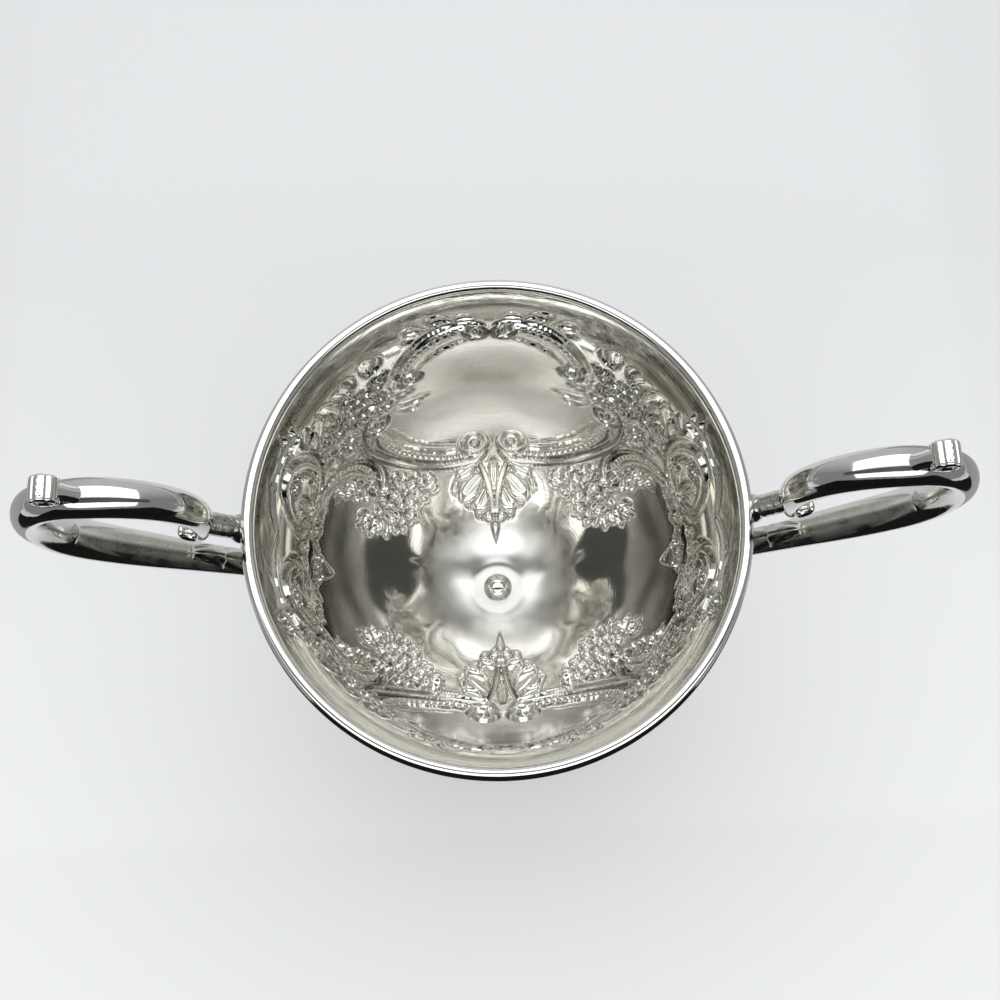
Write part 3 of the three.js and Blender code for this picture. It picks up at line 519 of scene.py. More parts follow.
def bowl(material):
    down, radius, height = bowl_line()
    line = np.column_stack([radius, height])
    outward = offset(line, -1.0) - line
    azimuth = full_turn(BOWL_TURNS)

    def side(angles, rows, field, shift, crevice):
        """One side of the sheet, and its tarnish with painted shade on steep edges, degrees, distance down and
        radius.
        """
        a, d = np.meshgrid(angles, down[rows])
        degrees, across = fold_degrees(a), radius[rows][:, None]
        moat = unit(1 - np.abs(across - 0.62 * MOAT_RADIUS) / (0.38 * MOAT_RADIUS))
        lift = shift + sample_field(field, degrees, d) + hand_work(a, d)
        lift = lift + MOAT_DEPTH * moat ** 2 * (3 - 2 * moat)
        r = across + lift * outward[rows, :1]
        z = height[rows][:, None] + lift * outward[rows, 1:]
        points = np.stack([r * np.cos(a), r * np.sin(a), z], -1).reshape(-1, 3)
        return points, (sample_field(crevice, degrees, d), degrees, d, np.broadcast_to(across, a.shape))

    from_plate = np.hypot((90 - GRID_DEGREES) * MM_PER_DEGREE / PLATE_ACROSS,
                          (np.interp(GRID_DOWN, SIDE_ALONG, SIDE_HEIGHT) - RIM_Z - PLATE_UP) / PLATE_HIGH)
    bare = unit(from_plate * 3 - 2.6)
    relief = ornament()
    every = np.arange(len(down))
    alternate = np.append(every[:-1:2], every[-1])
    half = BOWL_TURNS // 2
    inner, inner_values = side(azimuth, every, relief, 0.0, crevices(-relief))
    outer, outer_values = side(azimuth[::2], alternate, soften(relief, 2) * bare, SHEET, crevices(relief))
    start = len(inner)
    faces = grid_faces(len(every), BOWL_TURNS)
    faces += [[start + k for k in quad[::-1]] for quad in grid_faces(len(alternate), half)]
    for inner_row, outer_row, order in ((0, 0, 1), (len(every) - 1, len(alternate) - 1, -1)):
        for i in range(half):
            a, b, c = (inner_row * BOWL_TURNS + (2 * i + k) % BOWL_TURNS for k in (0, 1, 2))
            p, q = (start + outer_row * half + (i + k) % half for k in (0, 1))
            faces += [strip[::order] for strip in ([a, p, b], [b, p, q], [b, q, c])]
    points = np.vstack([inner, outer])
    # The first of these darkens the silver: tarnish in hollows and painted shade on steep edges.
    tarnish_and_shade, degrees, depth, across = (np.append(a, b) for a, b in zip(inner_values, outer_values))
    inside = np.arange(len(points)) < start
    rubbed = unit((SATIN_RADIUS - across) / SATIN_EDGE + 0.5) * inside
    blank = unit(6 - 6 * np.hypot(degrees / FIELD_ACROSS, (depth - FIELD_MIDDLE) / FIELD_HIGH)) * inside
    values = dict(tarnish_and_shade=tarnish_and_shade, rubbed=rubbed, blank=blank, turn=degrees, down=depth)
    make_piece("chased_bowl", points, faces, material, "bowl", CHASED, values, sharp=70)


def lip_wire(material):
    """Half-round wire with a fine bead and a line between them."""
    outside, inside, high, bead, inset = 64.98, 61.5, 2.0, 0.75, 1.3
    middle, seat = (inside + outside) / 2, RIM_Z - high
    top = arc((middle, seat), outside - middle, high - 0.01, 0, 180, 28)
    under = arc((outside - inset, seat - bead), bead, bead, -150, 60, 12)
    profile = np.vstack([top, [[outside - 2.1, seat]], under])

    def wavy(azimuth, radius, height):
        return radius - 0.02 * (1 + np.sin(2 * azimuth + 0.7)), height - 0.015 * (1 + np.sin(3 * azimuth))

    make_piece("lip_moulding", *turned_ring(profile[::-1], 360, wavy), material, "lip_wire",
               POLISHED, sharp=35)


def stud(material):
    head = arc((0, FLOOR_Z), STUD_HEAD, STUD_HIGH, 89.5, 0, 24)
    side, end, chamfer = 2.5, 26.5, 0.6
    shank = [[side, FLOOR_Z], [side, end + chamfer], [side - chamfer, end], [0.02, end]]
    profile = np.vstack([head, shank])
    points, faces = turned(profile, 96), capped_faces(len(profile), 96)
    make_piece("floor_boss", points, faces, material, "centre_stud", POLISHED)


# Foot, stem and seat

STEM_TOP = 35.0
STEM_RADIUS = 8.2
STEM_PLATE = 1.5
KNOP_TOP = 42.0
SEAT_TOP = 49.0
SEAT_RADIUS = 17.0
SEAT_BEAD = 1.1
SOLDER_GAP = 0.3
NECK_RADIUS = 8.0
KNOP_RADIUS = 11.5
FILLET = 0.8
FILLET_RADIUS = 8.8
DOME_TOP = 15.0
DOME_RADIUS = 25.4
STEP_HEIGHT = 2.0
FOOT_EDGE = 43.4
WIRE_OUTSIDE = 47.0
WIRE_INSIDE = 41.0
WIRE_HEIGHT = 4.5
GADROONS = 24
FOOT_LOBES = 18
REEDS = 120


def gadrooned(azimuth, radius, height):
    """Slanting lobes round the middle of the knop."""
    share = unit(1 - np.abs(height - (STEM_TOP + KNOP_TOP) / 2) / 2.0)
    lobe = np.abs(np.sin(GADROONS / 2 * azimuth + 0.35 * height))
    return radius - 0.55 * share * (1 - lobe) ** 1.5, height


def stem_knop(material):
    half = (KNOP_TOP - STEM_TOP) / 2
    upper = [[STUD_HOLE, KNOP_TOP], [FILLET_RADIUS, KNOP_TOP], [FILLET_RADIUS, KNOP_TOP - FILLET]]
    lower = [[FILLET_RADIUS, STEM_TOP + FILLET], [FILLET_RADIUS, STEM_TOP], [STUD_HOLE, STEM_TOP]]
    belly = arc((NECK_RADIUS, STEM_TOP + half), KNOP_RADIUS - NECK_RADIUS - 0.02, half - 1.5 * FILLET,
                90, -90, 24)
    ring = turned_ring(np.vstack([upper, belly, lower]), 240, gadrooned)
    make_piece("gadrooned_knop", *ring, material, "stem_knop", POLISHED, sharp=50)


def calyx(azimuth, radius, height):
    """Upright leaf lobes round the hollow of the bowl seat."""
    share = unit((radius - 9.2) / 5) * unit((SEAT_RADIUS - 1.2 - radius) / 2)
    return radius - 0.5 * share * (1 - np.abs(np.cos(8 * azimuth))) ** 2, height


def bowl_seat(material):
    dish = offset(np.column_stack([SIDE_RADIUS, SIDE_HEIGHT])[::-1], SHEET + SOLDER_GAP)
    dish = dish[(dish[:, 0] > FLOOR_FLAT) & (dish[:, 0] < SEAT_RADIUS)][::6]
    edge = dish[-1, 1]
    bead = arc((SEAT_RADIUS - SEAT_BEAD, edge - SEAT_BEAD), SEAT_BEAD, SEAT_BEAD, 60, -70, 12)
    middle, bottom = SEAT_RADIUS - SEAT_BEAD / 2, KNOP_TOP + FILLET
    cavetto = arc((middle, bottom), middle - FILLET_RADIUS, edge - 2 * SEAT_BEAD - bottom, 100, 180, 24)
    profile = np.vstack([[[STUD_HOLE, SEAT_TOP], [FLOOR_FLAT, SEAT_TOP]], dish, bead, cavetto,
                         [[FILLET_RADIUS, KNOP_TOP], [STUD_HOLE, KNOP_TOP]]])
    ring = turned_ring(profile, 240, calyx)
    make_piece("calyx_seat", *ring, material, "bowl_seat", POLISHED, sharp=50)


def foot_relief(azimuth, radius, height):
    """Chased leaves round the dome, and flutes up the trumpet."""
    share = unit((radius - DOME_RADIUS - 1.5) / (FOOT_EDGE - DOME_RADIUS - 4.5))
    on_dome = (radius > DOME_RADIUS + 1.5) & (share < 1)
    turn = (azimuth * FOOT_LOBES / (2 * pi)) % 1 - 0.5
    width = 0.46 * np.sin(pi * (0.12 + 0.86 * share)) ** 0.7
    across = turn / np.maximum(width, 0.02)
    veins = 0.16 * np.cos(9 * pi * (share - 0.35 * np.abs(across)))
    body = dome(across) * (1 - 0.35 * np.exp(-(across / 0.1) ** 2) - veins)
    lift = np.where(on_dome, body, 0) * np.minimum(1, 6 * (1 - share))
    flute = unit((DOME_TOP + 16 - height) / 4) * unit((height - DOME_TOP - 3.5) / 3)
    lobes = np.abs(np.sin(FOOT_LOBES / 2 * azimuth)) ** 0.6 - 1
    return radius + 0.25 * lift + 0.5 * flute * lobes, height + 0.75 * lift


def foot(material):
    trumpet = bezier((STEM_RADIUS, STEM_TOP), (STEM_RADIUS, 26), (11, 19.5),
                     (DOME_RADIUS - STEP_HEIGHT, DOME_TOP + STEP_HEIGHT), 40)
    step = [[DOME_RADIUS - 0.7, DOME_TOP + STEP_HEIGHT - 0.2]]
    shoulder = bezier((DOME_RADIUS, DOME_TOP), (34, 14), (40.5, 11), (FOOT_EDGE, WIRE_HEIGHT), 60)
    outside = np.vstack([trumpet, step, shoulder])
    inside = offset(outside, SHEET)[::-1]
    inside[0] = [FOOT_EDGE - SHEET, WIRE_HEIGHT]
    inside[-1] = [STEM_RADIUS - SHEET, STEM_TOP - STEM_PLATE]
    profile = np.vstack([[[STUD_HOLE, STEM_TOP - STEM_PLATE], [STUD_HOLE, STEM_TOP]], outside, inside])
    ring = turned_ring(profile, 432, foot_relief)
    make_piece("chased_foot", *ring, material, "foot", CHASED, sharp=50)


def foot_wire(material):
    seat, shoulder = FOOT_EDGE + 0.4, 1.4
    ovolo = arc((seat, shoulder), WIRE_OUTSIDE - seat, WIRE_HEIGHT - shoulder, 90, 0, 20)
    inner = [[WIRE_INSIDE, 0.0], [WIRE_INSIDE, WIRE_HEIGHT]]

    def reeded(azimuth, radius, height):
        high = unit((height - shoulder) / 1.2) * unit((radius - seat - 0.3) / 0.8)
        return radius - 0.28 * high * (1 - np.abs(np.sin(REEDS / 2 * azimuth))) ** 1.4, height

    profile = np.vstack([inner, ovolo, [[WIRE_OUTSIDE, 0.6], [WIRE_OUTSIDE - 0.3, 0.0]]])
    ring = turned_ring(profile, 720, reeded)
    make_piece("foot_moulding", *ring, material, "foot_wire", POLISHED, sharp=35)


# Handles

# The right handle's middle line: how far out, how high over the lip, half its width and half its thickness.
HANDLE = [
    (80.6, -3.4, 1.4, 0.7), (80.4, -5.8, 1.9, 1), (78.2, -7.2, 2.3, 1.3), (75.8, -5.2, 2.6, 1.8),
    (74.3, -1.2, 3, 2.4), (73.2, 3.8, 3.5, 2.9), (72.2, 9.8, 3.9, 3.4), (72.6, 16.8, 4.1, 3.6),
    (75.6, 23.4, 4.3, 3.7), (80.4, 28.2, 4.5, 3.7), (86, 31, 4.7, 3.6), (91.6, 31.9, 4.8, 3.5),
    (97.2, 31.1, 4.6, 3.6), (102.6, 28.5, 4.6, 3.8), (107, 24, 4.8, 3.9), (110, 17.4, 5, 4),
    (111, 9.4, 5.2, 4), (110.3, 1, 5.4, 4), (107.6, -7.2, 5.4, 4), (102.3, -16.2, 5.2, 3.9),
    (94.6, -26.2, 4.9, 3.8), (86, -36.6, 4.3, 3.5), (77, -46.9, 3.9, 3.2), (68.6, -56, 3.7, 3.1),
    (61, -62.8, 3.8, 3.2), (53, -67, 4.4, 3.6), (45, -68.8, 5, 4.2),
]
# Shares of its length: where the upper arm ends, the rib starts, and the leaf's tip and root are.
HANDLE_JOINT = 0.345
RIB_FROM = 0.515
LEAF_TIP = 0.712
LEAF_ROOT = 0.925
# The strut's middle line, with its radius, and that of the thumb scroll's stem.
STRUT = [(52.5, -16.5, 5.2), (58.2, -11.2, 4.7), (63.6, -5.8, 3.7), (68.2, -0.8, 2.9), (72.8, 4.8, 3.0)]
THUMB_STEM = [(91.6, 33.4), (93.0, 35.2), (94.6, 37.2), (96.4, 39.2)]
THUMB_OUT = 97.6
THUMB_UP = 39.3
THUMB_RADIUS = 3.4
THUMB_WIDTH = 6.2
# The thumb drum's end from its rim to its middle: share of the radius, and how far it stands proud.
THUMB_EYE = [(0.80, -0.02), (0.72, -0.38), (0.52, -0.42), (0.44, -0.1), (0.40, 0.25), (0.30, 0.38),
             (0.14, 0.42), (0.01, 0.43)]


def curve_through(points, per_span=150):
    """A centripetal Catmull-Rom curve: its points, and their places counted in spans."""
    p = np.array(points, float)
    p = np.vstack([2 * p[0] - p[1], p, 2 * p[-1] - p[-2]])
    t = np.linspace(0, 1, per_span, endpoint=False)[:, None]
    runs, places = [], []
    for i in range(1, len(p) - 2):
        x0, x1, x2, x3 = p[i - 1:i + 3]
        d0, d1, d2 = (dist(*pair) ** 0.5 for pair in ((x0, x1), (x1, x2), (x2, x3)))
        t1 = ((x1 - x0) / d0 - (x2 - x0) / (d0 + d1) + (x2 - x1) / d1) * d1
        t2 = ((x2 - x1) / d1 - (x3 - x1) / (d1 + d2) + (x3 - x2) / d2) * d1
        square, cube = -3 * x1 + 3 * x2 - 2 * t1 - t2, 2 * x1 - 2 * x2 + t1 + t2
        runs.append(x1 + t1 * t + square * t ** 2 + cube * t ** 3)
        places.append(i - 1 + t[:, 0])
    return np.vstack([*runs, p[-2:-1]]), np.append(np.concatenate(places), len(points) - 1.0)


def even_mean(values, width):
    """A running mean that keeps the ends."""
    padded = np.pad(values, width, mode="edge")
    return np.convolve(padded, np.ones(2 * width + 1) / (2 * width + 1), mode="valid")


HANDLE_LINE, HANDLE_PLACE = curve_through([row[:2] for row in HANDLE])
HANDLE_SHARE = np.append(0, np.cumsum(np.hypot(*np.diff(HANDLE_LINE, axis=0).T)))
HANDLE_SHARE /= HANDLE_SHARE[-1]
HANDLE_ALONG = directions(HANDLE_LINE)
HANDLE_SIZE = [even_mean(np.interp(HANDLE_PLACE, range(len(HANDLE)), size), 60)
               for size in [*zip(*HANDLE)][2:]]


def on_handle(share, angle, distance=0.0, ridge=0.0):
    """Points on a handle's skin, at angles from the inward side, moved out by a distance."""
    share, angle = np.broadcast_arrays(share, angle)
    out, up = (np.interp(share, HANDLE_SHARE, HANDLE_LINE[:, k]) for k in (0, 1))
    ax, az = (np.interp(share, HANDLE_SHARE, HANDLE_ALONG[:, k]) for k in (0, 1))
    width, thick = (np.interp(share, HANDLE_SHARE, size) for size in HANDLE_SIZE)
    inwards = (thick + distance) * np.cos(angle) + ridge
    return np.stack([out + az * inwards, (width + distance) * np.sin(angle), RIM_Z + up - ax * inwards], -1)


def rod(line, width, thick, sides):
    """Rings round a line in the handle's plane, with their reach across that plane and in it."""
    along = directions(line)
    turn = full_turn(sides)
    return np.stack([line[:, :1] + along[:, 1:] * thick * np.cos(turn), width * np.sin(turn),
                     RIM_Z + line[:, 1:] - along[:, :1] * thick * np.cos(turn)], -1)


def outside_bowl(points, distance):
    """Moves points straight out where they don't clear the bowl by a distance."""
    radius = np.hypot(points[..., 0], points[..., 1])
    wall = np.interp(points[..., 2], SIDE_HEIGHT[::-1], SIDE_RADIUS[::-1]) + SHEET + distance
    scale = np.maximum(1, wall / np.maximum(radius, 1e-6))
    return np.stack([points[..., 0] * scale, points[..., 1] * scale, points[..., 2]], -1)


def handle_piece(name, points, faces, material, node, slot, side, attributes=None, sharp=40):
    """A piece of one handle. The left one is the right one turned half round."""
    points = points.reshape(-1, 3)
    if side == "left":
        points = points * (-1, -1, 1)
    make_piece(f"{name}_{side}", points, faces, material, f"{node}_{side}", slot, attributes, sharp)


def upper_scroll(material, side):
    sides, stations, rounded = 48, 170, 0.02
    angle = full_turn(sides)
    t = np.linspace(0, 1, stations)[:, None]
    rings = on_handle(t ** 1.15 * HANDLE_JOINT, angle)
    middle = rings.mean(1, keepdims=True)
    size = np.sqrt(np.clip(1 - unit(1 - t / rounded) ** 2, 0.0004, 1))
    rings = middle + (rings - middle) * size[..., None]
    handle_piece("upper_arm", rings, tube_faces(stations, sides), material, "upper_scroll",
                 POLISHED, side, {"darker_tone": np.ones(sides * stations)})


def rib(share, angle):
    """The inside of the lower arm: the height of its flat, keel and bud, and where it is brushed."""
    start = (share - RIB_FROM) / 0.006
    begun = unit(start + 1)
    bud = 0.7 * np.exp(-2 * start ** 2) * unit(np.cos(angle)) ** 12
    keel = 0.3 * begun * unit(np.cos(angle)) ** 60
    reach = 0.08 + 1.05 * unit((share - RIB_FROM) / 0.16) ** 0.6
    face = begun / (1 + np.exp(np.clip((np.abs(angle) - reach) / 0.04, -40, 40)))
    return bud + keel - 0.25 * face, face


def lower_scroll(material, side):
    sides, stations = 96, 320
    angle = np.linspace(-pi, pi, sides, endpoint=False)
    share = np.linspace(HANDLE_JOINT, 1, stations)[:, None]
    ridge, face = rib(share, angle)
    rings = outside_bowl(on_handle(share, angle, 0.0, ridge), PLATE_THICKNESS)
    handle_piece("lower_arm", rings, tube_faces(stations, sides), material, "lower_scroll",
                 POLISHED, side, {"darker_tone": np.ones(face.size), "satin": face.ravel()})


def drum_section(angle, share):
    """The thumb scroll's radius: six lobes along its axis, and a lip at each end."""
    lobe = np.abs(np.cos(3 * (angle - pi / 2))) ** 0.5
    return (THUMB_RADIUS - 0.5 * (1 - lobe)) * (1 - 0.03 * share ** 2 - 0.16 * share ** 12)


def thumb_scroll(material, side):
    """A lobed drum with a sunk eye at each end, on a short stem from the arm."""
    turn = full_turn(96)
    share = np.linspace(-1, 1, 49)[:, None]
    top = np.exp(-((turn - pi / 2) / 0.28) ** 2)
    dots = np.cos(share * 14) * np.cos((turn - pi / 2) * 22)
    barrel = drum_section(turn, share) - 0.12 * top * unit(dots) ** 2 * (np.abs(share) < 0.85)
    scale, proud = np.array(THUMB_EYE).T[..., None]
    eye = scale * np.where(scale > 0.6, drum_section(turn, 1.0), THUMB_RADIUS)
    end = THUMB_WIDTH / 2 + proud
    radius = np.vstack([eye[::-1], barrel, eye])
    across = np.broadcast_to(np.vstack([-end[::-1], share * THUMB_WIDTH / 2, end]), radius.shape)
    drum = np.stack([THUMB_OUT + radius * np.cos(turn), across, RIM_Z + THUMB_UP + radius * np.sin(turn)], -1)
    line, _ = curve_through(THUMB_STEM, 14)
    t = np.linspace(0, 1, len(line))[:, None]
    stem = rod(line, 2.7 - 0.8 * np.sin(pi * t) ** 0.7, 1.5 + 0.5 * t, 32)
    points = np.vstack([drum.reshape(-1, 3), stem.reshape(-1, 3)])
    faces = tube_faces(*radius.shape)
    faces += [[radius.size + k for k in face] for face in tube_faces(len(line), 32)]
    handle_piece("thumb_roll", points, faces, material, "thumb_scroll", POLISHED, side, sharp=50)


def rough(points, size):
    """Small unevenness of a casting."""
    x, y, z = (points[..., k] for k in (0, 1, 2))
    waves = np.sin(2.1 * x + 1.3 * y) * np.sin(1.7 * z + 0.6)
    return size * (waves + 0.6 * np.sin(3.7 * y - 2.9 * z) * np.sin(3.1 * x))


def strut(material, side):
    """Tapered strut from under the lip to the back of the upper arm, with a ring and a groove."""
    sides = 48
    line, place = curve_through([row[:2] for row in STRUT], 20)
    t = np.linspace(0, 1, len(line))
    radius = np.interp(place, range(len(STRUT)), [row[2] for row in STRUT])
    radius = radius + 0.45 * np.exp(-((t - 0.60) / 0.035) ** 2) - 0.25 * np.exp(-((t - 0.68) / 0.03) ** 2)
    rings = rod(line, radius[:, None], radius[:, None], sides)
    middle = rings.mean(1, keepdims=True)
    rings = middle + (rings - middle) * (1 + rough(rings, 0.018)[..., None])
    handle_piece("arm_strut", outside_bowl(rings, 0.0), tube_faces(len(line), sides), material,
                 "handle_strut", CAST, side)


def leaf_mount(material, side):
    """Acanthus leaf along the inside of the lower arm, with side lobes, veins and a rolled tip."""
    along = np.linspace(0, 1, 120)[:, None]
    across = np.linspace(-1, 1, 49)
    aside = np.abs(across)
    lobe = 0.78 + 0.22 * np.abs(np.cos(3 * pi * along))
    reach = radians(56) * lobe * np.sqrt(np.minimum(1, along * 1.8 + 0.12))
    rolled = 1.9 * np.sqrt(unit(1 - (along / 0.14 - 0.9) ** 2))
    arch = 0.55 + 0.45 * np.cos(pi / 2 * across) ** 2
    veins = 0.22 * np.cos(6 * pi * (along * 1.5 - 0.35 * aside)) * aside ** 0.5 * (1 - aside ** 6)
    midrib = 0.35 * np.exp(-(across / 0.09) ** 2)
    creases = 0.4 * np.exp(-((aside - 0.62) / 0.05) ** 2) * np.exp(-((along - 0.07) / 0.05) ** 2)
    share = LEAF_TIP + (LEAF_ROOT - LEAF_TIP) * along
    top = on_handle(share, across * reach, (1.2 + rolled) * arch + veins - midrib - creases)
    rings = np.concatenate([on_handle(share, across * reach, 0.1), top[:, ::-1]], axis=1)
    # Darker in the midrib and creases; the underside that lies on the arm gets a fixed 0.6 of painted shade.
    dark_grooves_and_underside_shade = unit((midrib + creases - veins)[:, ::-1] * 2)
    dark_grooves_and_underside_shade = np.concatenate([np.full(dark_grooves_and_underside_shade.shape, 0.6), dark_grooves_and_underside_shade], axis=1)
    handle_piece("acanthus_mount", outside_bowl(rings, PLATE_THICKNESS), tube_faces(*dark_grooves_and_underside_shade.shape), material,
                 "leaf_mount", CAST, side, {"tarnish_and_shade": dark_grooves_and_underside_shade.ravel()})


def wall_plate(material, side):
    """Oval plate on the bowl's wall, with a rounded edge."""
    scale, lift = np.array([(0.02, 1), (0.5, 1), (0.82, 1), (0.93, 0.86), (0.985, 0.5), (1, 0)]).T[..., None]
    turn = full_turn(72)
    y, z = scale * PLATE_ACROSS * np.cos(turn), RIM_Z + PLATE_UP + scale * PLATE_HIGH * np.sin(turn)
    wall = np.interp(z, SIDE_HEIGHT[::-1], SIDE_RADIUS[::-1]) + SHEET - 0.1 + (PLATE_THICKNESS + 0.1) * lift
    points = np.stack([np.sqrt(wall ** 2 - y ** 2), y, z], -1)
    handle_piece("oval_plate", points, capped_faces(*y.shape), material, "wall_plate", POLISHED, side)


# Materials. The id_data of a node's output is its node tree.


def add(tree, kind, inputs, output=0, **settings):
    """A new node's output. Its inputs are values or other nodes' outputs."""
    node = tree.nodes.new(f"ShaderNode{kind}")
    for name, value in settings.items():
        setattr(node, name, value)
    for socket, value in inputs.items():
        if isinstance(value, bpy.types.NodeSocket):
            tree.links.new(value, node.inputs[socket])
        else:
            node.inputs[socket].default_value = value
    return node.outputs[output]


def noise(tree, scale, detail, stretch=(1, 1, 1)):
    """A noise texture in the object's own space, stretched along the axes."""
    place = add(tree, "Mapping", {"Vector": add(tree, "TexCoord", {}, "Object"), "Scale": stretch})
    return add(tree, "TexNoise", {"Vector": place, "Scale": scale, "Detail": detail}, "Fac")


def spread(value, low, high, start=0.35, end=0.65):
    """Maps a value from a range, by default that of a noise, to another."""
    return add(value.id_data, "MapRange", {
        "Value": value, "From Min": start, "From Max": end, "To Min": low, "To Max": high})


def mix(factor, *colours):
    """A mix of two colours or nodes' outputs."""
    first, second = ((*colour, 1) if isinstance(colour, tuple) else colour for colour in colours)
    return add(factor.id_data, "Mix", {0: factor, 6: first, 7: second}, 2, data_type="RGBA")


def blend(factor, first, second):
    """A mix of the numbers that two nodes put out."""
    return add(factor.id_data, "Mix", {0: factor, 2: first, 3: second})


def maths(tree, operation, *values):
    """A sum or product of numbers and nodes' outputs."""
    return add(tree, "Math", dict(enumerate(values)), operation=operation)


def attribute(tree, name):
    return add(tree, "Attribute", {}, "Fac", attribute_name=name)


def new_material(name, colour, roughness, metallic=1.0):
    """A material, its node tree and its shader."""
    material = bpy.data.materials.new(name)
    material.use_nodes = True
    shader = material.node_tree.nodes["Principled BSDF"]
    shader.inputs["Base Color"].default_value = (*colour, 1)
    shader.inputs["Metallic"].default_value = metallic
    shader.inputs["Roughness"].default_value = roughness
    return material, material.node_tree, shader


def dress(tree, shader, colour, roughness, height, strength, distance):
    """Links a metal's colour and roughness, and a bump from a height."""
    normal = add(tree, "Bump", {"Height": height, "Strength": strength, "Distance": distance})
    for name, value in (("Base Color", colour), ("Roughness", roughness), ("Normal", normal)):
        tree.links.new(value, shader.inputs[name])


def polished_silver():
    """Bright and smooth. The arms are a darker tone, and their inner face is brushed, with a painted
    reflection of the bowl in its darker olive colour.
    """
    material, tree, shader = new_material(POLISHED, (0.86, 0.85, 0.82), 0.07)
    clouds = spread(noise(tree, 60, 3), 0, 1)
    clean = mix(clouds, (0.88, 0.875, 0.855), (0.82, 0.81, 0.775))
    # A darker, duller tone for the arms.
    darker_tone = mix(clouds, (0.72, 0.715, 0.69), (0.62, 0.615, 0.585))
    strokes = spread(noise(tree, 90, 5, (0.12, 6, 0.12)), 0, 1)
    # The inner face's brushing is a finish; its darker olive colour is a painted reflection of the bowl.
    brushed_and_bowl_reflection = mix(strokes, (0.70, 0.69, 0.64), (0.56, 0.555, 0.50))
    satin = attribute(tree, "satin")
    colour = mix(satin, mix(attribute(tree, "darker_tone"), clean, darker_tone), brushed_and_bowl_reflection)
    sheen = spread(noise(tree, 180, 5), 0.045, 0.10)
    roughness = blend(satin, sheen, maths(tree, "MULTIPLY", sheen, 4.0))
    dress(tree, shader, colour, roughness, noise(tree, 320, 6, (1, 1, 3)), 0.06, 0.0004)
    return material


def brush_marks(tree):
    """Fine marks that run round the bowl, and drift a little."""
    across = maths(tree, "MULTIPLY", attribute(tree, "turn"), 0.16)
    down = maths(tree, "MULTIPLY_ADD", noise(tree, 25, 2), 9.0, attribute(tree, "down"))
    place = add(tree, "CombineXYZ", {"X": across, "Y": down})
    return add(tree, "TexNoise", {"Vector": place, "Scale": 1.3, "Detail": 3}, "Fac")


def chased_silver():
    """Old hand-worked silver: cloudy, with wiping marks, a rubbed floor and tarnish in the hollows; painted
    shade darkens steep edges and the walls towards the handles.
    """
    material, tree, shader = new_material(CHASED, (0.78, 0.775, 0.75), 0.12)
    blank, rubbed, marks = attribute(tree, "blank"), attribute(tree, "rubbed"), brush_marks(tree)
    clouds = spread(noise(tree, 38, 4), 0, 1)
    darker_tone = mix(clouds, (0.90, 0.895, 0.855), (0.81, 0.80, 0.75))
    bright = mix(clouds, (0.99, 0.985, 0.95), (0.96, 0.955, 0.915))
    # Painted shade: the walls darken from 40 to 85 degrees from the cartouche, towards the handles.
    sides = mix(spread(attribute(tree, "turn"), 0, 1, 40, 85), darker_tone, (0.66, 0.65, 0.595))
    floor_colour = mix(clouds, (0.68, 0.675, 0.655), (0.57, 0.565, 0.545))
    silver = mix(rubbed, mix(blank, sides, bright), floor_colour)
    unrubbed = maths(tree, "SUBTRACT", 1.0, rubbed)
    streaks = maths(tree, "MULTIPLY", spread(marks, 0, 0.2), unrubbed)
    streaked = mix(streaks, silver, (0.64, 0.63, 0.59))
    # Tarnish in the hollows and painted shade on steep edges both darken the colour here.
    tarnish_and_shade_amount = spread(attribute(tree, "tarnish_and_shade"), 0, 0.85, 0.2, 0.9)
    colour = mix(tarnish_and_shade_amount, streaked, (0.09, 0.085, 0.072))
    ragged = spread(maths(tree, "MULTIPLY_ADD", noise(tree, 110, 4), 1.4, rubbed), 0, 1, 1.0, 1.5)
    plain = blend(blank, spread(marks, 0.04, 0.09), spread(marks, 0.15, 0.24))
    roughness = blend(ragged, plain, spread(noise(tree, 60, 3), 0.16, 0.24))
    dress(tree, shader, colour, roughness, maths(tree, "MULTIPLY", marks, unrubbed), 0.06, 0.0003)
    return material


def cast_silver():
    material, tree, shader = new_material(CAST, (0.74, 0.73, 0.70), 0.24)
    pits = noise(tree, 420, 6)
    # A darker, mottled silver for the strut and the leaf.
    dark_mottle = mix(spread(noise(tree, 110, 4), 0, 1), (0.62, 0.61, 0.575), (0.42, 0.41, 0.38))
    # The piece's attribute darkens its grooves and paints shade under the leaf.
    colour = mix(spread(attribute(tree, "tarnish_and_shade"), 0, 0.8, 0.1, 0.8), dark_mottle, (0.16, 0.15, 0.13))
    dress(tree, shader, colour, spread(pits, 0.10, 0.26), pits, 0.12, 0.0006)
    return material


def turned_brass():
    material, tree, shader = new_material("turned_brass", (0.69, 0.55, 0.29), 0.35)
    colour = mix(spread(noise(tree, 200, 4), 0, 1), (0.72, 0.58, 0.31), (0.52, 0.40, 0.20))
    roughness = spread(noise(tree, 500, 3), 0.28, 0.42)
    dress(tree, shader, colour, roughness, noise(tree, 900, 2, (1, 1, 0.2)), 0.2, 0.0003)
    return material


def dress_brass(material):
    """The washer and the nut keep their own solids and get the brass."""
    for node in ("stud_washer", "stud_nut"):
        solid = frame["nodes"][node]
        solid.data.materials.clear()
        solid.data.materials.append(material)


# Floor, light and camera. Sizes and places of the stage are in metres.

CAMERA_PLACE = (0.755, -62.33, 265.33)
CAMERA_TILT = 14.0
CAMERA_TURN = 2.3
LENS = 38.99
UPWARDS = (0, 0, 0)
DOWNWARDS = (pi, 0, 0)
FORWARDS = (pi / 2, 0, 0)


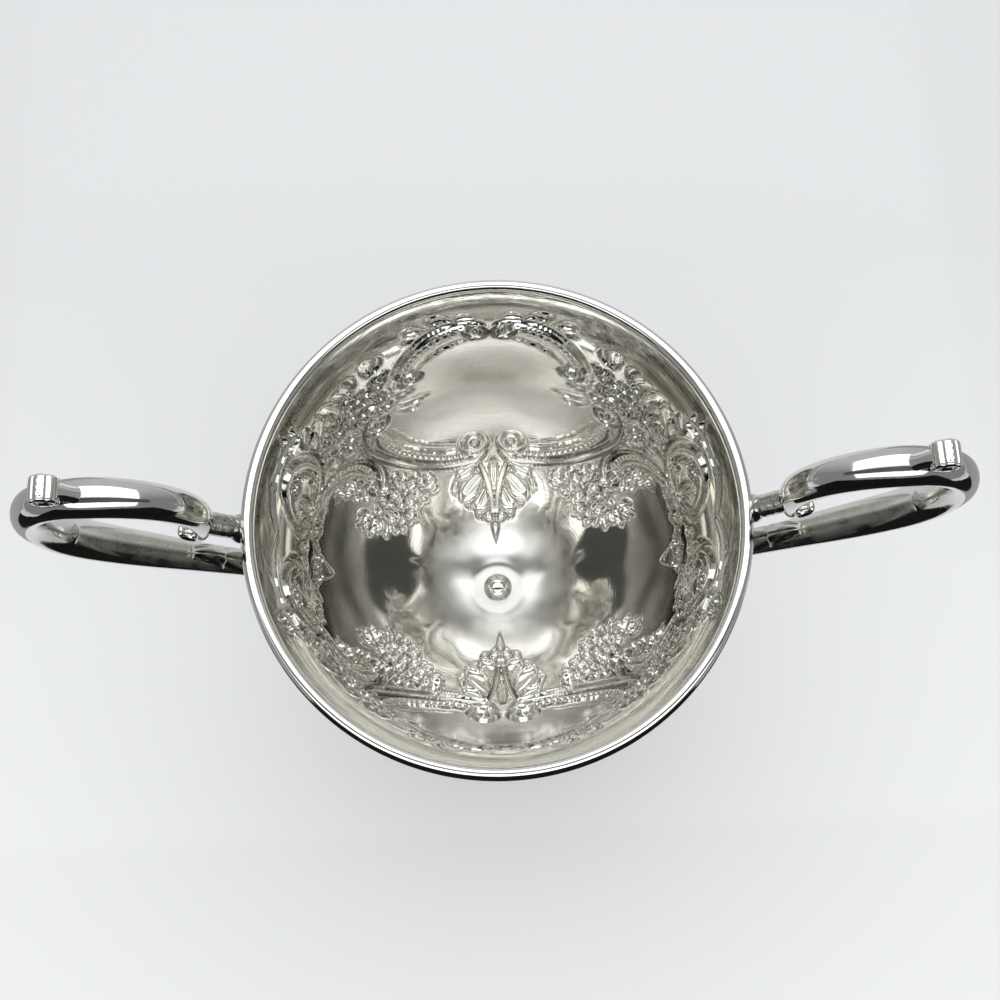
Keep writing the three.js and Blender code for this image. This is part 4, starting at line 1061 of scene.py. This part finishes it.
def camera():
    """Looks down on the cup, a little from the front. Its place is in mm from the middle of the lip."""
    turn, tilt = radians(CAMERA_TURN), radians(CAMERA_TILT)
    data = bpy.data.cameras.new("camera")
    data.lens = LENS
    data.clip_start = 0.01
    unturn = Matrix.Rotation(-turn, 3, "Z")
    right = unturn @ Vector((1, 0, 0))
    up = unturn @ Vector((0, cos(tilt), sin(tilt)))
    place = unturn @ Vector(CAMERA_PLACE) + Vector((0, 0, RIM_Z))
    axes = Matrix((right, up, right.cross(up))).transposed().to_4x4()
    camera_object = new_object("camera", data)
    camera_object.matrix_world = Matrix.Translation(place * MM) @ axes
    bpy.context.scene.camera = camera_object


def stage_plane(name, size, place, turn, material):
    """A flat stage object that faces its own +Z."""
    x, y = size[0] / 2, size[1] / 2
    mesh = bpy.data.meshes.new(name)
    mesh.from_pydata([(-x, -y, 0), (x, -y, 0), (x, y, 0), (-x, y, 0)], [], [(0, 1, 2, 3)])
    mesh.materials.append(material)
    plane = new_object(name, mesh)
    plane.location = place
    plane.rotation_euler = turn
    return plane


def floor():
    """A pale floor, a little darker behind the cup."""
    material, tree, shader = new_material("pale_floor", (0.8, 0.8, 0.8), 0.6, metallic=0.0)
    along = add(tree, "SeparateXYZ", {"Vector": add(tree, "TexCoord", {}, "Object")}, "Y")
    shade = mix(spread(along, 0, 1, -0.15, 0.15), (0.71, 0.72, 0.73), (0.60, 0.61, 0.62))
    tree.links.new(shade, shader.inputs["Base Color"])
    stage_plane("floor", (6, 6), (0, 0, -0.0002), UPWARDS, material)


def world():
    """Grey walls, brighter overhead and behind the cup than in front and at its sides."""
    scene = bpy.context.scene
    scene.world = bpy.data.worlds.new("studio")
    scene.world.use_nodes = True
    tree = scene.world.node_tree
    background = tree.nodes["Background"]
    background.inputs["Strength"].default_value = 1.0
    direction = add(tree, "TexCoord", {}, "Generated")
    x, y, z = (add(tree, "SeparateXYZ", {"Vector": direction}, axis) for axis in "XYZ")
    towards = maths(tree, "MULTIPLY_ADD", z, 0.5, y)
    towards = maths(tree, "MULTIPLY_ADD", maths(tree, "ABSOLUTE", x), -0.5, towards)
    light = mix(spread(towards, 0, 1, -0.1, 0.75), (0.27, 0.275, 0.28), (0.62, 0.63, 0.64))
    tree.links.new(light, background.inputs["Color"])


def card(name, size, place, turn, grey, glow=0.0):
    """A plain card that the metal sees and nothing else does."""
    material, _, shader = new_material(name, (grey, grey, grey), 0.9, metallic=0.0)
    shader.inputs["Specular IOR Level"].default_value = 0
    shader.inputs["Emission Color"].default_value = (1, 1, 1, 1)
    shader.inputs["Emission Strength"].default_value = glow
    plane = stage_plane(name, size, place, turn, material)
    plane.visible_camera = plane.visible_shadow = plane.visible_diffuse = False


def studio():
    """A wide light panel, a pale ceiling card, and flags over the cup, in front, low and beside it."""
    panel = bpy.data.lights.new("panel", "AREA")
    panel.shape = "RECTANGLE"
    panel.size, panel.size_y = 4.0, 4.8
    panel.energy = 102.0
    new_object("panel", panel).location = (0.05, 0.2, 2.4)
    card("ceiling", (0.95, 0.95), (0, 0.17, 1.2), DOWNWARDS, 0.1, 1.4)
    card("high_flag", (0.54, 0.10), (0.02, -0.05, 0.432), DOWNWARDS, 0.12)
    card("front_flag", (1.2, 0.50), (0, -0.42, 0.22), FORWARDS, 0.01)
    card("low_flag", (1.6, 1.15), (0, -0.66, 0.001), UPWARDS, 0.01)
    card("right_flag", (1.4, 1.2), (0.90, 0.515, 0.001), UPWARDS, 0.32)
    card("left_flag", (1.4, 1.2), (-0.90, 0.515, 0.001), UPWARDS, 0.32)


def build():
    silver, chased, cast = polished_silver(), chased_silver(), cast_silver()
    bowl(chased)
    lip_wire(silver)
    stud(silver)
    bowl_seat(silver)
    stem_knop(silver)
    foot(chased)
    foot_wire(silver)
    dress_brass(turned_brass())
    for side in ("right", "left"):
        upper_scroll(silver, side)
        lower_scroll(silver, side)
        thumb_scroll(silver, side)
        strut(cast, side)
        leaf_mount(cast, side)
        wall_plate(silver, side)


build()
floor()
studio()
world()
camera()
bpy.context.scene.view_settings.view_transform = "Standard"
